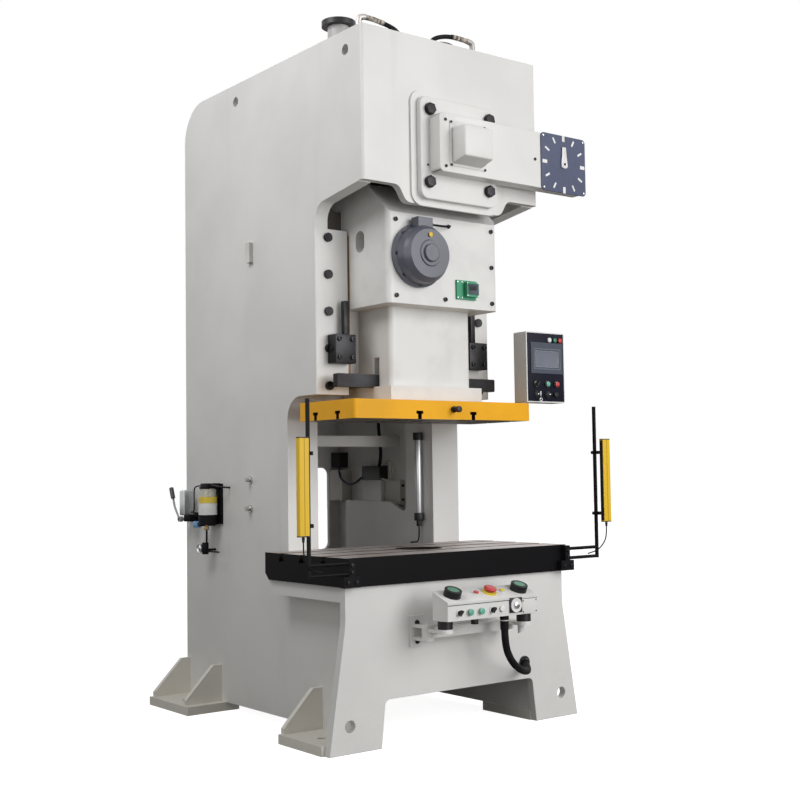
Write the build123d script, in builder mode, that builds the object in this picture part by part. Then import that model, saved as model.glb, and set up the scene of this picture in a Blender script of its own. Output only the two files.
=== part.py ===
from build123d import *
import os
from math import acos, atan2, cos, degrees, hypot, pi, radians, sin, sqrt, tan

os.makedirs("parts", exist_ok=True)

# Driving sizes of the mechanical C-frame press, in millimetres. X runs to the right, Y to the back,
# Z up. The origin lies on the floor, in the middle of the four anchor bolt holes.

# Welded frame
frame_half_width = 528.0
side_thickness = 70.0
wall_thickness = 40.0
sheet_thickness = 20.0
front_plate_thickness = 40.0
top_rear_radius = 200.0
anchor_spacing_x = 1300.0
anchor_setback = 190.0
anchor_hole_radius = 21.0
fit_gap = 0.05
part_gap = 0.3

# Heights, from the bolster up to the top of the frame
bolster_top = 833.0
bolster_thickness = 126.0
daylight = 608.0
plate_thickness = 87.0
neck_height = 442.0
slide_box_height = 570.0
rod_length = 473.0
stroke = 200.0
head_rise = 507.0
plate_bottom = bolster_top + daylight
plate_top = plate_bottom + plate_thickness
slide_bottom = plate_top + neck_height
slide_top = slide_bottom + slide_box_height
slide_shoulder = slide_top - 150.0
ball_height = slide_bottom + 350.0
crank_height = ball_height + rod_length - stroke / 2
frame_height = crank_height + head_rise

# Depths behind the head's front face, from the throat to the back of the frame
upper_throat_depth = 385.0
gib_thickness = 45.0
guide_thickness = 84.0
gear_width = 120.0
clutch_room = 345.0
flywheel_width = 180.0
flywheel_room = 295.0
guide_front = upper_throat_depth + gib_thickness + 16.0
slide_back = guide_front + guide_thickness
inner_wall_depth = slide_back + 15.0
gear_depth = inner_wall_depth + 95.0
lower_throat_depth = slide_back + 110.0
rear_wall_depth = gear_depth + gear_width + 40.0
flywheel_depth = rear_wall_depth + wall_thickness + clutch_room
frame_depth = flywheel_depth + flywheel_width + flywheel_room
anchor_spacing_y = frame_depth - 220.0 - anchor_setback

# Head and throat outline
head_lower_edge = crank_height - 197.0
head_bottom = head_lower_edge + 2.0
bevel_drop = 43.0
bevel_depth = 308.0
upper_throat_radius = 80.0
gib_top = slide_bottom + 370.0
gib_bottom = plate_top + 35.0
lower_throat_radius = 110.0
lifting_hole_radius = 25.0
lifting_hole_height = frame_height - 90.0
lifting_hole_depths = (125.0, frame_depth - 552.0)
tongue_half_width = 285.0
tongue_slope = 45.0
tongue_bottom = crank_height - 273.0
head_corner_radius = 14.0

# Bed, apron and feet
bolster_half_width = 658.0
bolster_overhang = 15.0
bolster_bottom = bolster_top - bolster_thickness
bed_thickness = 67.0
bed_bottom = bolster_bottom - bed_thickness
bed_half_width = 640.0
bed_rib_thickness = 35.0
bed_rib_bottom = 300.0
die_centre_depth = 313.0
scrap_hole_radius = 130.0
apron_front = 5.0
apron_thickness = 40.0
apron_half_width = 647.0
apron_flare_height = bolster_bottom - 157.0
apron_foot_half_width = 740.0
leg_inner_foot = 487.0
leg_inner_top = 415.0
arch_height = 213.0
arch_radius = 60.0
leg_hole_x = 628.0
leg_hole_height = 116.0
leg_hole_radius = 27.0
foot_thickness = 43.0
foot_inner = 455.0
foot_outer = 750.0
front_foot_end = 390.0
rear_foot_start = frame_depth - 420.0
gusset_height = 228.0
gusset_thickness = 25.0
gusset_top_width = 50.0
gusset_lip = 25.0

# Drive train
journal_radius = 80.0
inner_journal_radius = 85.0
tail_journal_radius = 75.0
crank_pin_radius = 85.0
bush_wall = 25.0
gear_module = 13.0
gear_teeth = 60
pinion_teeth = 16
gear_backlash = 1.2
pinion_shaft_radius = 55.0
flywheel_radius = 430.0
motor_pulley_radius = 85.0
pulley_gap = 35.0
belt_count = 5
belt_width = 22.0
belt_thickness = 10.0
motor_radius = 140.0
motor_depth = rear_wall_depth + wall_thickness + 40.0
motor_length = flywheel_depth - 15.0 - motor_depth

# Slide, connecting rod and slide adjustment
slide_front = 83.0
slide_half_width = 334.0
neck_half_width = 243.0
neck_front = slide_front + 107.0
neck_back = slide_back - 30.0
flange_half_width = 275.0
flange_front = slide_front + 67.0
flange_thickness = 70.0
plate_half_width = 530.0
guide_half_width = 440.0
rod_centre_depth = slide_front + 164.5
rod_width = 150.0
big_end_radius = 150.0
ball_radius = 75.0
ball_clearance = 35.0
wheel_radius = 128.7
wheel_thickness = 50.0
worm_x = -165.0
worm_height = slide_bottom + 225.0
worm_radius = 36.0
adjust_motor_radius = 148.0
balance_x = 310.0
balance_depth = slide_back - 43.0
balance_radius = 54.0
balance_top = frame_height + 188.0
balance_rim_radius = 83.0
balance_rod_radius = 18.0
balance_piston_radius = 43.9
plate_slot_depths = (slide_front + 133.0, slide_front + 312.0)
cross_slot_x = 162.0
shank_depth = 306.0

# Knock-out
knockout_depth = upper_throat_depth - 83.0
knockout_width = 36.0
knockout_height = 62.0
knockout_bottom = plate_top + 66.0
knockout_slot_top = knockout_bottom + 144.0
knockout_half_length = 480.0
stop_block_bottom = knockout_bottom + 106.0
stop_block_top = knockout_bottom + 248.0
stop_block_inner = 365.0
stop_rod_side = 45.0
stop_rod_x = 402.0
stop_rod_top = stop_block_top + 163.0

# Chain cover and angle dial on the head
dial_x = 602.0
dial_side = 284.0
dial_plate_thickness = 6.0
cover_left = -175.0
cover_right = dial_x + 153.0
cover_half_height = 136.0
cover_front = 110.0
cover_wall = 5.0
cap_half_width = 228.0
cap_bottom = crank_height - 252.0
cap_top = crank_height + 222.0
pad_half_width = 262.0
pad_thickness = 10.0
cap_thickness = 28.0

# Operator's equipment
console_left = -290.0
console_right = 236.0
console_front = -250.0
console_back = -144.0
console_bottom = bolster_bottom - 154.0
console_front_height = 80.0
console_back_height = 122.0
palm_spacing = 390.0
palm_travel = 5.0
button_travel = 3.0
post_x = 856.0
post_depth = -35.0
post_side = 13.0
post_bottom = bolster_top - 73.0
post_top = bolster_top + 679.0
curtain_x = 900.0
curtain_depth = -62.0
curtain_width = 52.0
curtain_thickness = 28.0
curtain_bottom = bolster_top + 105.0
curtain_top = bolster_top + 515.0
pendant_left = 529.0
pendant_width = 261.0
pendant_front = 100.0
pendant_thickness = 90.0
pendant_bottom = bolster_top + 702.0
pendant_height = 353.0
pendant_tube_x = 552.0
pendant_tube_radius = 16.0
pendant_tube_height = pendant_bottom - 55.0

head_front = -anchor_spacing_y / 2 - anchor_setback
side_inner = frame_half_width - side_thickness
top_plate_bottom = frame_height - wall_thickness
gear_pitch_radius = gear_module * gear_teeth / 2
pinion_pitch_radius = gear_module * pinion_teeth / 2
pinion_height = crank_height - gear_pitch_radius - pinion_pitch_radius
motor_height = pinion_height + flywheel_radius + motor_pulley_radius + pulley_gap
throw = stroke / 2
pin_height = crank_height + throw
rod_front = rod_centre_depth - rod_width / 2
rod_back = rod_centre_depth + rod_width / 2


def back(depth):
    """The Y of a place that lies this far behind the head's front face."""
    return head_front + depth


def facing_front(depth):
    """A plane that faces the operator; its own up is Z."""
    return Plane.XZ.offset(-back(depth))


def rounded(*corners):
    """A closed outline; a corner given as (u, v, radius) is rounded."""
    starts = []
    ends = []
    for index, corner in enumerate(corners):
        here = Vector(corner[0], corner[1])
        before = Vector(*corners[index - 1][:2])
        after = Vector(*corners[(index + 1) % len(corners)][:2])
        start = here
        end = here
        if len(corner) > 2:
            to_before = (before - here).normalized()
            to_after = (after - here).normalized()
            half = radians(to_before.get_angle(to_after)) / 2
            start = here + to_before * (corner[2] / tan(half))
            end = here + to_after * (corner[2] / tan(half))
            inward = (to_before + to_after).normalized()
            ThreePointArc(start, here + inward * (corner[2] / sin(half) - corner[2]), end)
        starts.append(start)
        ends.append(end)
    for index, start in enumerate(starts):
        Line(ends[index - 1], start)


def block(x_range, depth_range, z_range, mode=Mode.ADD):
    """A rectangular piece between two X, two depths and two heights."""
    middle = (
        sum(x_range) / 2,
        back(sum(depth_range) / 2),
        sum(z_range) / 2,
    )
    with Locations(middle):
        Box(
            abs(x_range[1] - x_range[0]),
            abs(depth_range[1] - depth_range[0]),
            abs(z_range[1] - z_range[0]),
            mode=mode,
        )


def round_bar(x, z, depth_range, radius, mode=Mode.ADD):
    """A cylinder that lies from front to back."""
    with Locations(Location((x, back(sum(depth_range) / 2), z), (90, 0, 0))):
        Cylinder(radius, abs(depth_range[1] - depth_range[0]), mode=mode)


def upright(x, depth, z_range, radius, mode=Mode.ADD):
    """A cylinder that stands on end."""
    with Locations((x, back(depth), sum(z_range) / 2)):
        Cylinder(radius, abs(z_range[1] - z_range[0]), mode=mode)


def cross_bar(x_range, depth, z, radius, mode=Mode.ADD):
    """A cylinder that lies from left to right."""
    with Locations(Location((sum(x_range) / 2, back(depth), z), (0, 90, 0))):
        Cylinder(radius, abs(x_range[1] - x_range[0]), mode=mode)


def save(part, name):
    """Label a finished piece and write it to its own file."""
    part.label = name
    export_step(part, "parts/" + name + ".step")


# The side plate of the frame, cut out for the throat


def head_underside(depth):
    return head_bottom - bevel_drop * depth / bevel_depth


def side_plate(start_x):
    with BuildPart() as plate:
        with BuildSketch(Plane.YZ.offset(start_x)):
            with BuildLine():
                rounded(
                    (back(front_plate_thickness), frame_height),
                    (back(front_plate_thickness), head_underside(front_plate_thickness)),
                    (
                        back(upper_throat_depth),
                        head_underside(upper_throat_depth),
                        upper_throat_radius,
                    ),
                    (back(upper_throat_depth), gib_top),
                    (back(upper_throat_depth + gib_thickness), gib_top),
                    (back(upper_throat_depth + gib_thickness), gib_bottom),
                    (back(lower_throat_depth), gib_bottom, lower_throat_radius),
                    (back(lower_throat_depth), bed_bottom),
                    (back(apron_front + apron_thickness), bed_bottom),
                    (back(apron_front + apron_thickness), foot_thickness),
                    (back(frame_depth), foot_thickness),
                    (back(frame_depth), frame_height, top_rear_radius),
                )
            make_face()
            for depth in lifting_hole_depths:
                with Locations((back(depth), lifting_hole_height)):
                    Circle(lifting_hole_radius, mode=Mode.SUBTRACT)
        extrude(amount=side_thickness)
    return plate.part


frame_side_left = side_plate(-frame_half_width)
frame_side_right = side_plate(side_inner)
save(frame_side_left, "frame_side_left")
save(frame_side_right, "frame_side_right")

# The head's front plate, with the tongue below, the raised pad and the front bearing boss

front_bush_radius = journal_radius + fit_gap + bush_wall
boss_back = rod_front - 67.5
tongue_top_half_width = tongue_half_width + tongue_slope

with BuildPart() as frame_head_front:
    with BuildSketch(facing_front(0)):
        with BuildLine():
            rounded(
                (-frame_half_width, frame_height),
                (frame_half_width, frame_height),
                (frame_half_width, head_lower_edge),
                (tongue_top_half_width, head_lower_edge, 45.0),
                (tongue_half_width, tongue_bottom, 45.0),
                (-tongue_half_width, tongue_bottom, 45.0),
                (-tongue_top_half_width, head_lower_edge, 45.0),
                (-frame_half_width, head_lower_edge),
            )
        make_face()
    extrude(amount=-front_plate_thickness)
    corner_edges = frame_head_front.edges().filter_by(Axis.Z).group_by(Axis.Y)[0]
    fillet(corner_edges, radius=head_corner_radius)
    with BuildSketch(facing_front(0)):
        with Locations((0, (cap_bottom + cap_top) / 2)):
            RectangleRounded(2 * pad_half_width, cap_top - cap_bottom + 60.0, 60.0)
    extrude(amount=pad_thickness)
    round_bar(0, crank_height, (front_plate_thickness, boss_back), front_bush_radius + 45.0)
    round_bar(
        0,
        crank_height,
        (-pad_thickness, boss_back),
        front_bush_radius + fit_gap,
        mode=Mode.SUBTRACT,
    )
save(frame_head_front.part, "frame_head_front")

# The flat plates between the side plates: top, both bearing walls, drive floor and motor shelf

inner_bush_radius = inner_journal_radius + fit_gap + bush_wall
tail_bush_radius = tail_journal_radius + fit_gap + 20.0
pinion_bush_radius = pinion_shaft_radius + fit_gap + 30.0
shelf_height = motor_height - motor_radius - 20.0
floor_top = gib_bottom
inner_wall_back = inner_wall_depth + wall_thickness
rear_wall_back = rear_wall_depth + wall_thickness
rear_plate_front = frame_depth - sheet_thickness

with BuildPart() as frame_cross_plates:
    block(
        (-side_inner, side_inner),
        (front_plate_thickness, frame_depth - top_rear_radius),
        (top_plate_bottom, frame_height),
    )
    for side in (-1, 1):
        upright(
            side * balance_x,
            balance_depth,
            (top_plate_bottom, frame_height),
            balance_radius + part_gap,
            mode=Mode.SUBTRACT,
        )
    wall_range = (floor_top, top_plate_bottom)
    block((-side_inner, side_inner), (inner_wall_depth, inner_wall_back), wall_range)
    block((-side_inner, side_inner), (rear_wall_depth, rear_wall_back), wall_range)
    block(
        (-side_inner, side_inner),
        (inner_wall_depth, rear_plate_front),
        (floor_top - sheet_thickness, floor_top),
    )
    block(
        (-side_inner, side_inner),
        (rear_wall_back, motor_depth + motor_length),
        (shelf_height - sheet_thickness, shelf_height),
    )
    inner_span = (inner_wall_depth, inner_wall_back)
    rear_span = (rear_wall_depth, rear_wall_back)
    round_bar(0, crank_height, inner_span, inner_bush_radius + fit_gap, mode=Mode.SUBTRACT)
    round_bar(0, crank_height, rear_span, tail_bush_radius + fit_gap, mode=Mode.SUBTRACT)
    for span in (inner_span, rear_span):
        round_bar(0, pinion_height, span, pinion_bush_radius + fit_gap, mode=Mode.SUBTRACT)
save(frame_cross_plates.part, "frame_cross_plates")

# The rear plate, bent over the top, with the service opening and the open throat window

guard_half_width = 410.0
guard_bottom = gib_bottom + 97.0
guard_top = crank_height + 7.0
window_half_width = 385.0
window_bottom = bolster_bottom + 53.0
window_top = window_bottom + 469.0
window_radius = 40.0

with BuildPart() as frame_rear_plate:
    with BuildSketch(Plane.YZ.offset(-side_inner)):
        with BuildLine():
            top_line = Line(
                (back(frame_depth - top_rear_radius), frame_height),
                (back(frame_depth - top_rear_radius), frame_height - sheet_thickness),
            )
            inner_radius = top_rear_radius - sheet_thickness
            bend_centre = (back(frame_depth - top_rear_radius), frame_height - top_rear_radius)
            CenterArc(bend_centre, inner_radius, 90, -90)
            Line(
                (back(rear_plate_front), frame_height - top_rear_radius),
                (back(rear_plate_front), foot_thickness),
            )
            Line((back(rear_plate_front), foot_thickness), (back(frame_depth), foot_thickness))
            Line(
                (back(frame_depth), foot_thickness),
                (back(frame_depth), frame_height - top_rear_radius),
            )
            CenterArc(bend_centre, top_rear_radius, 0, 90)
        make_face()
    extrude(amount=2 * side_inner)
    with BuildSketch(facing_front(frame_depth)):
        with Locations((0, (guard_bottom + guard_top) / 2)):
            RectangleRounded(2 * guard_half_width - 60, guard_top - guard_bottom - 60, 50.0)
        with Locations((0, (window_bottom + window_top) / 2)):
            RectangleRounded(2 * window_half_width, window_top - window_bottom, window_radius)
    extrude(amount=sheet_thickness, mode=Mode.SUBTRACT)
save(frame_rear_plate.part, "frame_rear_plate")

# The two lower throat columns: a face strip, and an inner web that steps down behind

column_inner = 357.0
column_strip_thickness = 30.0
column_web_thickness = 20.0
column_web_back = lower_throat_depth + 228.0
low_web_back = frame_depth - 230.0
low_web_height = bolster_bottom + 338.0
low_web_front_height = bolster_bottom + 268.0

with BuildPart() as throat_columns:
    for side in (-1, 1):
        block(
            (side * column_inner, side * side_inner),
            (lower_throat_depth, lower_throat_depth + column_strip_thickness),
            (bolster_bottom, floor_top - sheet_thickness),
        )
        web_x = column_inner if side > 0 else -column_inner - column_web_thickness
        with BuildSketch(Plane.YZ.offset(web_x)):
            with BuildLine():
                rounded(
                    (back(lower_throat_depth + column_strip_thickness), bolster_bottom),
                    (
                        back(lower_throat_depth + column_strip_thickness),
                        floor_top - sheet_thickness,
                    ),
                    (back(column_web_back), floor_top - sheet_thickness),
                    (back(column_web_back), low_web_front_height, 30.0),
                    (back(column_web_back + 140.0), low_web_height - 7.0, 60.0),
                    (back(low_web_back), low_web_height),
                    (back(low_web_back), bolster_bottom),
                )
            make_face()
        extrude(amount=column_web_thickness)
save(throat_columns.part, "throat_columns")

# The bed: thick top plate with the scrap hole, and two cross ribs down to the arch

with BuildPart() as frame_bed:
    bed_front = apron_front + apron_thickness
    block((-bed_half_width, bed_half_width), (bed_front, lower_throat_depth), (bed_bottom, bolster_bottom))
    upright(0, die_centre_depth, (bed_bottom, bolster_bottom), scrap_hole_radius, mode=Mode.SUBTRACT)
    for rib_depth in (lower_throat_depth - 140.0, lower_throat_depth - 40.0):
        block(
            (-side_inner, side_inner),
            (rib_depth, rib_depth + bed_rib_thickness),
            (bed_rib_bottom, bed_bottom),
        )
save(frame_bed.part, "frame_bed")

# The apron: front plate whose two flared legs stand on the floor

with BuildPart() as frame_apron:
    with BuildSketch(facing_front(apron_front)):
        with BuildLine():
            rounded(
                (-apron_half_width, bolster_bottom),
                (apron_half_width, bolster_bottom),
                (apron_half_width, apron_flare_height, 160.0),
                (apron_foot_half_width, 0),
                (leg_inner_foot, 0),
                (leg_inner_top, arch_height, arch_radius),
                (-leg_inner_top, arch_height, arch_radius),
                (-leg_inner_foot, 0),
                (-apron_foot_half_width, 0),
                (-apron_half_width, apron_flare_height, 160.0),
            )
        make_face()
        for side in (-1, 1):
            with Locations((side * leg_hole_x, leg_hole_height)):
                Circle(leg_hole_radius, mode=Mode.SUBTRACT)
    extrude(amount=-apron_thickness)
save(frame_apron.part, "frame_apron")

# The four feet: a thick sole plate each, with gussets square to the side plate


def foot(side, sole_range, gusset_depths, anchor_depth):
    block((side * foot_inner, side * foot_outer), sole_range, (0, foot_thickness))
    gusset_outer = foot_outer - 15.0
    for depth in gusset_depths:
        with BuildSketch(facing_front(depth)) as gusset:
            with BuildLine():
                Polyline(
                    (side * frame_half_width, foot_thickness),
                    (side * frame_half_width, gusset_height),
                    (side * (frame_half_width + gusset_top_width), gusset_height),
                    (side * gusset_outer, foot_thickness + gusset_lip),
                    (side * gusset_outer, foot_thickness),
                    close=True,
                )
            make_face()
        extrude(gusset.sketch, amount=-gusset_thickness)
    anchor_x = side * anchor_spacing_x / 2
    upright(anchor_x, anchor_depth, (0, foot_thickness), anchor_hole_radius, mode=Mode.SUBTRACT)


with BuildPart() as frame_feet:
    for side in (-1, 1):
        foot(
            side,
            (apron_front + apron_thickness, front_foot_end),
            (front_foot_end - gusset_thickness,),
            anchor_setback,
        )
        foot(
            side,
            (rear_foot_start, frame_depth),
            (rear_foot_start + 45.0, frame_depth - gusset_thickness - 10.0),
            anchor_setback + anchor_spacing_y,
        )
save(frame_feet.part, "frame_feet")

# The bearing cap plate over the front bearing

with BuildPart() as bearing_cap:
    with BuildSketch(facing_front(-pad_thickness)):
        with Locations((0, (cap_bottom + cap_top) / 2)):
            RectangleRounded(2 * cap_half_width, cap_top - cap_bottom, 40.0)
        with Locations((0, crank_height)):
            Circle(50.0, mode=Mode.SUBTRACT)
    extrude(amount=cap_thickness)
    cap_face_edges = bearing_cap.faces().sort_by(Axis.Y)[0].outer_wire().edges()
    fillet(cap_face_edges, radius=5.0)
save(bearing_cap.part, "bearing_cap")

# The bronze bushes of the crankshaft and the pinion shaft


def bush(height, depth_range, shaft_radius, outer_radius):
    round_bar(0, height, depth_range, outer_radius)
    round_bar(0, height, depth_range, shaft_radius + fit_gap, mode=Mode.SUBTRACT)


with BuildPart() as shaft_bushes:
    bush(crank_height, (-pad_thickness, boss_back), journal_radius, front_bush_radius)
    bush(
        crank_height,
        (inner_wall_depth - 10.0, inner_wall_back + 15.0),
        inner_journal_radius,
        inner_bush_radius,
    )
    bush(
        crank_height,
        (rear_wall_depth - 15.0, rear_wall_back + 10.0),
        tail_journal_radius,
        tail_bush_radius,
    )
    for wall_front in (inner_wall_depth, rear_wall_depth):
        bush(
            pinion_height,
            (wall_front - 5.0, wall_front + wall_thickness + 5.0),
            pinion_shaft_radius,
            pinion_bush_radius,
        )
save(shaft_bushes.part, "shaft_bushes")

# The timing belt cover on the head, with the square switch cover on its front

cover_back = pad_thickness + cap_thickness
cover_height_range = (crank_height - cover_half_height, crank_height + cover_half_height)
switch_half = 67.0
switch_front = 173.0
belt_pulley_radius = 60.0

with BuildPart() as drive_cover:
    block((cover_left, cover_right), (-cover_front, -cover_back), cover_height_range)
    upright_edges = drive_cover.edges().filter_by(Axis.Y)
    fillet(upright_edges, radius=22.0)
    front_edges = drive_cover.faces().sort_by(Axis.Y)[0].outer_wire().edges()
    fillet(front_edges, radius=4.0)
    block(
        (cover_left + cover_wall, cover_right - cover_wall),
        (-cover_front + cover_wall, -cover_back - cover_wall),
        (cover_height_range[0] + cover_wall, cover_height_range[1] - cover_wall),
        mode=Mode.SUBTRACT,
    )
    round_bar(0, crank_height, (-cover_front + cover_wall, -cover_back), 50.0, mode=Mode.SUBTRACT)
    round_bar(dial_x, crank_height, (-cover_front, -cover_back), 8.3, mode=Mode.SUBTRACT)
    with BuildSketch(facing_front(-cover_front)):
        with Locations((0, crank_height)):
            RectangleRounded(2 * switch_half, 2 * switch_half, 10.0)
    extrude(amount=switch_front - cover_front)
save(drive_cover.part, "drive_cover")

# The angle dial plate and its pointer, which turns with the crankshaft

dial_face = cover_front + dial_plate_thickness

with BuildPart() as angle_dial:
    with BuildSketch(facing_front(-cover_front)):
        with Locations((dial_x, crank_height - 3.0)):
            RectangleRounded(dial_side + 16.0, dial_side, 6.0)
        with Locations((dial_x, crank_height)):
            Circle(8.3, mode=Mode.SUBTRACT)
    extrude(amount=dial_plate_thickness)
save(angle_dial.part, "angle_dial")

with BuildPart() as dial_pointer:
    round_bar(dial_x, crank_height, (-dial_face - 9.0, -cover_back - 12.0), 8.0)
    round_bar(dial_x, crank_height, (-90.0, -66.0), belt_pulley_radius)
    with BuildSketch(facing_front(-dial_face - 4.0)):
        with BuildLine():
            Polyline(
                (dial_x - 11.0, crank_height - 34.0),
                (dial_x + 11.0, crank_height - 34.0),
                (dial_x + 9.0, crank_height),
                (dial_x, crank_height + 96.0),
                (dial_x - 9.0, crank_height),
                close=True,
            )
        make_face()
    extrude(amount=3.0)
    round_bar(dial_x, crank_height, (-dial_face - 9.0, -dial_face - 3.0), 16.0)
save(dial_pointer.part, "dial_pointer")

# The two gib plates that hold the slide back against its rear guides, and their bronze liners

gib_inner = slide_half_width + 10.0
gib_back = upper_throat_depth + gib_thickness

with BuildPart() as gib_plates:
    for side in (-1, 1):
        block(
            (side * gib_inner, side * frame_half_width),
            (upper_throat_depth, gib_back),
            (gib_bottom, gib_top),
        )
    upright_edges = gib_plates.edges().filter_by(Axis.Z).group_by(Axis.Y)[0]
    chamfer(upright_edges, length=4.0)
save(gib_plates.part, "gib_plates")

liner_thickness = 10.0 - part_gap
front_liner_back = guide_front - part_gap
rear_liner_front = slide_back + part_gap

with BuildPart() as gib_liners:
    for side in (-1, 1):
        block(
            (side * (gib_inner - liner_thickness), side * gib_inner),
            (upper_throat_depth + 2.0, gib_back),
            (gib_bottom + 30.0, gib_top - 20.0),
        )
        block(
            (side * (gib_inner + 6.0), side * side_inner),
            (gib_back, front_liner_back),
            (gib_bottom + 30.0, gib_top - 20.0),
        )
        block(
            (side * (guide_half_width - 90.0), side * side_inner),
            (rear_liner_front, inner_wall_depth),
            (gib_bottom + 30.0, gib_top + 60.0),
        )
save(gib_liners.part, "gib_liners")

# The knock-out stops: a block on each gib plate that holds a square stop rod

stop_block_front = knockout_depth - 17.0

with BuildPart() as knockout_stops:
    for side in (-1, 1):
        block(
            (side * stop_block_inner, side * (frame_half_width - 3.0)),
            (stop_block_front, upper_throat_depth),
            (stop_block_bottom, stop_block_top),
        )
        block(
            (side * (stop_rod_x - stop_rod_side / 2), side * (stop_rod_x + stop_rod_side / 2)),
            (knockout_depth - stop_rod_side / 2, knockout_depth + stop_rod_side / 2),
            (stop_block_bottom - 8.0, stop_rod_top),
        )
save(knockout_stops.part, "knockout_stops")

# The crankshaft, drawn at top dead centre

web_thickness = 50.0
web_radius = 105.0
front_web_front = rod_front - 7.5 - web_thickness
rear_web_back = rod_back + 7.5 + web_thickness
crank_end = rear_wall_back + 20.0


def crank_web(depth):
    with BuildSketch(facing_front(depth)) as web:
        with Locations((0, crank_height), (0, pin_height)):
            Circle(web_radius)
        make_hull()
    extrude(web.sketch, amount=-web_thickness)


with BuildPart() as crankshaft:
    round_bar(0, crank_height, (-95.0, -pad_thickness), 45.0)
    round_bar(0, crank_height, (-90.0, -66.0), belt_pulley_radius)
    round_bar(0, crank_height, (-pad_thickness, front_web_front), journal_radius)
    crank_web(front_web_front)
    round_bar(0, pin_height, (rod_front - 7.5, rod_back + 7.5), crank_pin_radius)
    crank_web(rear_web_back - web_thickness)
    round_bar(0, crank_height, (rear_web_back, gear_depth - 4.0), inner_journal_radius)
    round_bar(0, crank_height, (gear_depth - 4.0, gear_depth + gear_width), journal_radius)
    round_bar(0, crank_height, (gear_depth + gear_width, crank_end), tail_journal_radius)
save(crankshaft.part, "crankshaft")

# Spur gear outlines with involute flanks

pressure_angle = radians(20)


def involute(angle):
    return tan(angle) - angle


def gear_outline(teeth, turned):
    """Points of a spur gear's edge; turned is the angle of one tooth's middle."""
    pitch = gear_module * teeth / 2
    base = pitch * cos(pressure_angle)
    root = pitch - 1.2 * gear_module
    tip = pitch + 0.9 * gear_module
    half_tooth = (pi * gear_module / 2 - gear_backlash) / 2 / pitch
    flank = []
    for step in range(4):
        radius = max(root, base) + (tip - max(root, base)) * step / 3
        angle = half_tooth + involute(pressure_angle) - involute(acos(min(1.0, base / radius)))
        flank.append((radius, angle))
    half_profile = [(root, flank[0][1] + 0.04 * 2 * pi / teeth)] + flank
    profile = [(radius, -angle) for radius, angle in half_profile]
    profile += [(radius, angle) for radius, angle in reversed(half_profile)]
    points = []
    for tooth in range(teeth):
        middle = turned + 2 * pi * tooth / teeth
        for radius, angle in profile:
            points.append((radius * cos(middle + angle), radius * sin(middle + angle)))
    return points


def gear_face(teeth, turned, height):
    outline = [(x, z + height) for x, z in gear_outline(teeth, turned)]
    with BuildLine() as edge:
        Polyline(*outline, close=True)
    make_face(edge.edges())


with BuildPart() as main_gear:
    with BuildSketch(facing_front(gear_depth)):
        gear_face(gear_teeth, 0, crank_height)
        with Locations((0, crank_height)):
            Circle(journal_radius + fit_gap, mode=Mode.SUBTRACT)
            with PolarLocations(230.0, 6, start_angle=30):
                Circle(58.0, mode=Mode.SUBTRACT)
    extrude(amount=-gear_width)
    for recess_front in (gear_depth, gear_depth + gear_width - 35.0):
        with BuildSketch(facing_front(recess_front)):
            with Locations((0, crank_height)):
                Circle(340.0)
                Circle(130.0, mode=Mode.SUBTRACT)
        extrude(amount=-35.0, mode=Mode.SUBTRACT)
save(main_gear.part, "main_gear")

shaft_end = flywheel_depth + flywheel_width + 60.0

with BuildPart() as pinion_shaft:
    round_bar(0, pinion_height, (inner_wall_depth - 5.0, shaft_end), pinion_shaft_radius)
    with BuildSketch(facing_front(gear_depth)):
        gear_face(pinion_teeth, pi / pinion_teeth, pinion_height)
    extrude(amount=-gear_width)
save(pinion_shaft.part, "pinion_shaft")

# The clutch and brake drum on the pinion shaft

clutch_front = rear_wall_back + 60.0
clutch_back = flywheel_depth - 20.0
clutch_step = (clutch_back - clutch_front) / 9

with BuildPart() as clutch_brake:
    with BuildSketch(Plane.YZ):
        with BuildLine():
            Polyline(
                (back(clutch_front), pinion_height + pinion_shaft_radius + fit_gap),
                (back(clutch_front), pinion_height + 110.0),
                (back(clutch_front + clutch_step), pinion_height + 110.0),
                (back(clutch_front + clutch_step), pinion_height + 225.0),
                (back(clutch_front + 2 * clutch_step), pinion_height + 225.0),
                (back(clutch_front + 2 * clutch_step), pinion_height + 170.0),
                (back(clutch_front + 4 * clutch_step), pinion_height + 170.0),
                (back(clutch_front + 4 * clutch_step), pinion_height + 210.0),
                (back(clutch_back), pinion_height + 210.0),
                (back(clutch_back), pinion_height + pinion_shaft_radius + fit_gap),
                close=True,
            )
        make_face()
    revolve(axis=Axis((0, 0, pinion_height), (0, 1, 0)))
save(clutch_brake.part, "clutch_brake")

# The flywheel, with one groove for each V-belt

groove_pitch = 32.0
groove_depth = 14.0
rim_inner = flywheel_radius - 75.0


def grooved_rim(radius, height, first_groove):
    """The rim's points from front to back, with V grooves."""
    points = []
    for index in range(belt_count):
        middle = first_groove + index * groove_pitch
        points.append((back(middle - belt_width / 2), height + radius))
        points.append((back(middle - belt_width / 4), height + radius - groove_depth))
        points.append((back(middle + belt_width / 4), height + radius - groove_depth))
        points.append((back(middle + belt_width / 2), height + radius))
    return points


first_groove = flywheel_depth + (flywheel_width - (belt_count - 1) * groove_pitch) / 2
flywheel_back = flywheel_depth + flywheel_width

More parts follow.
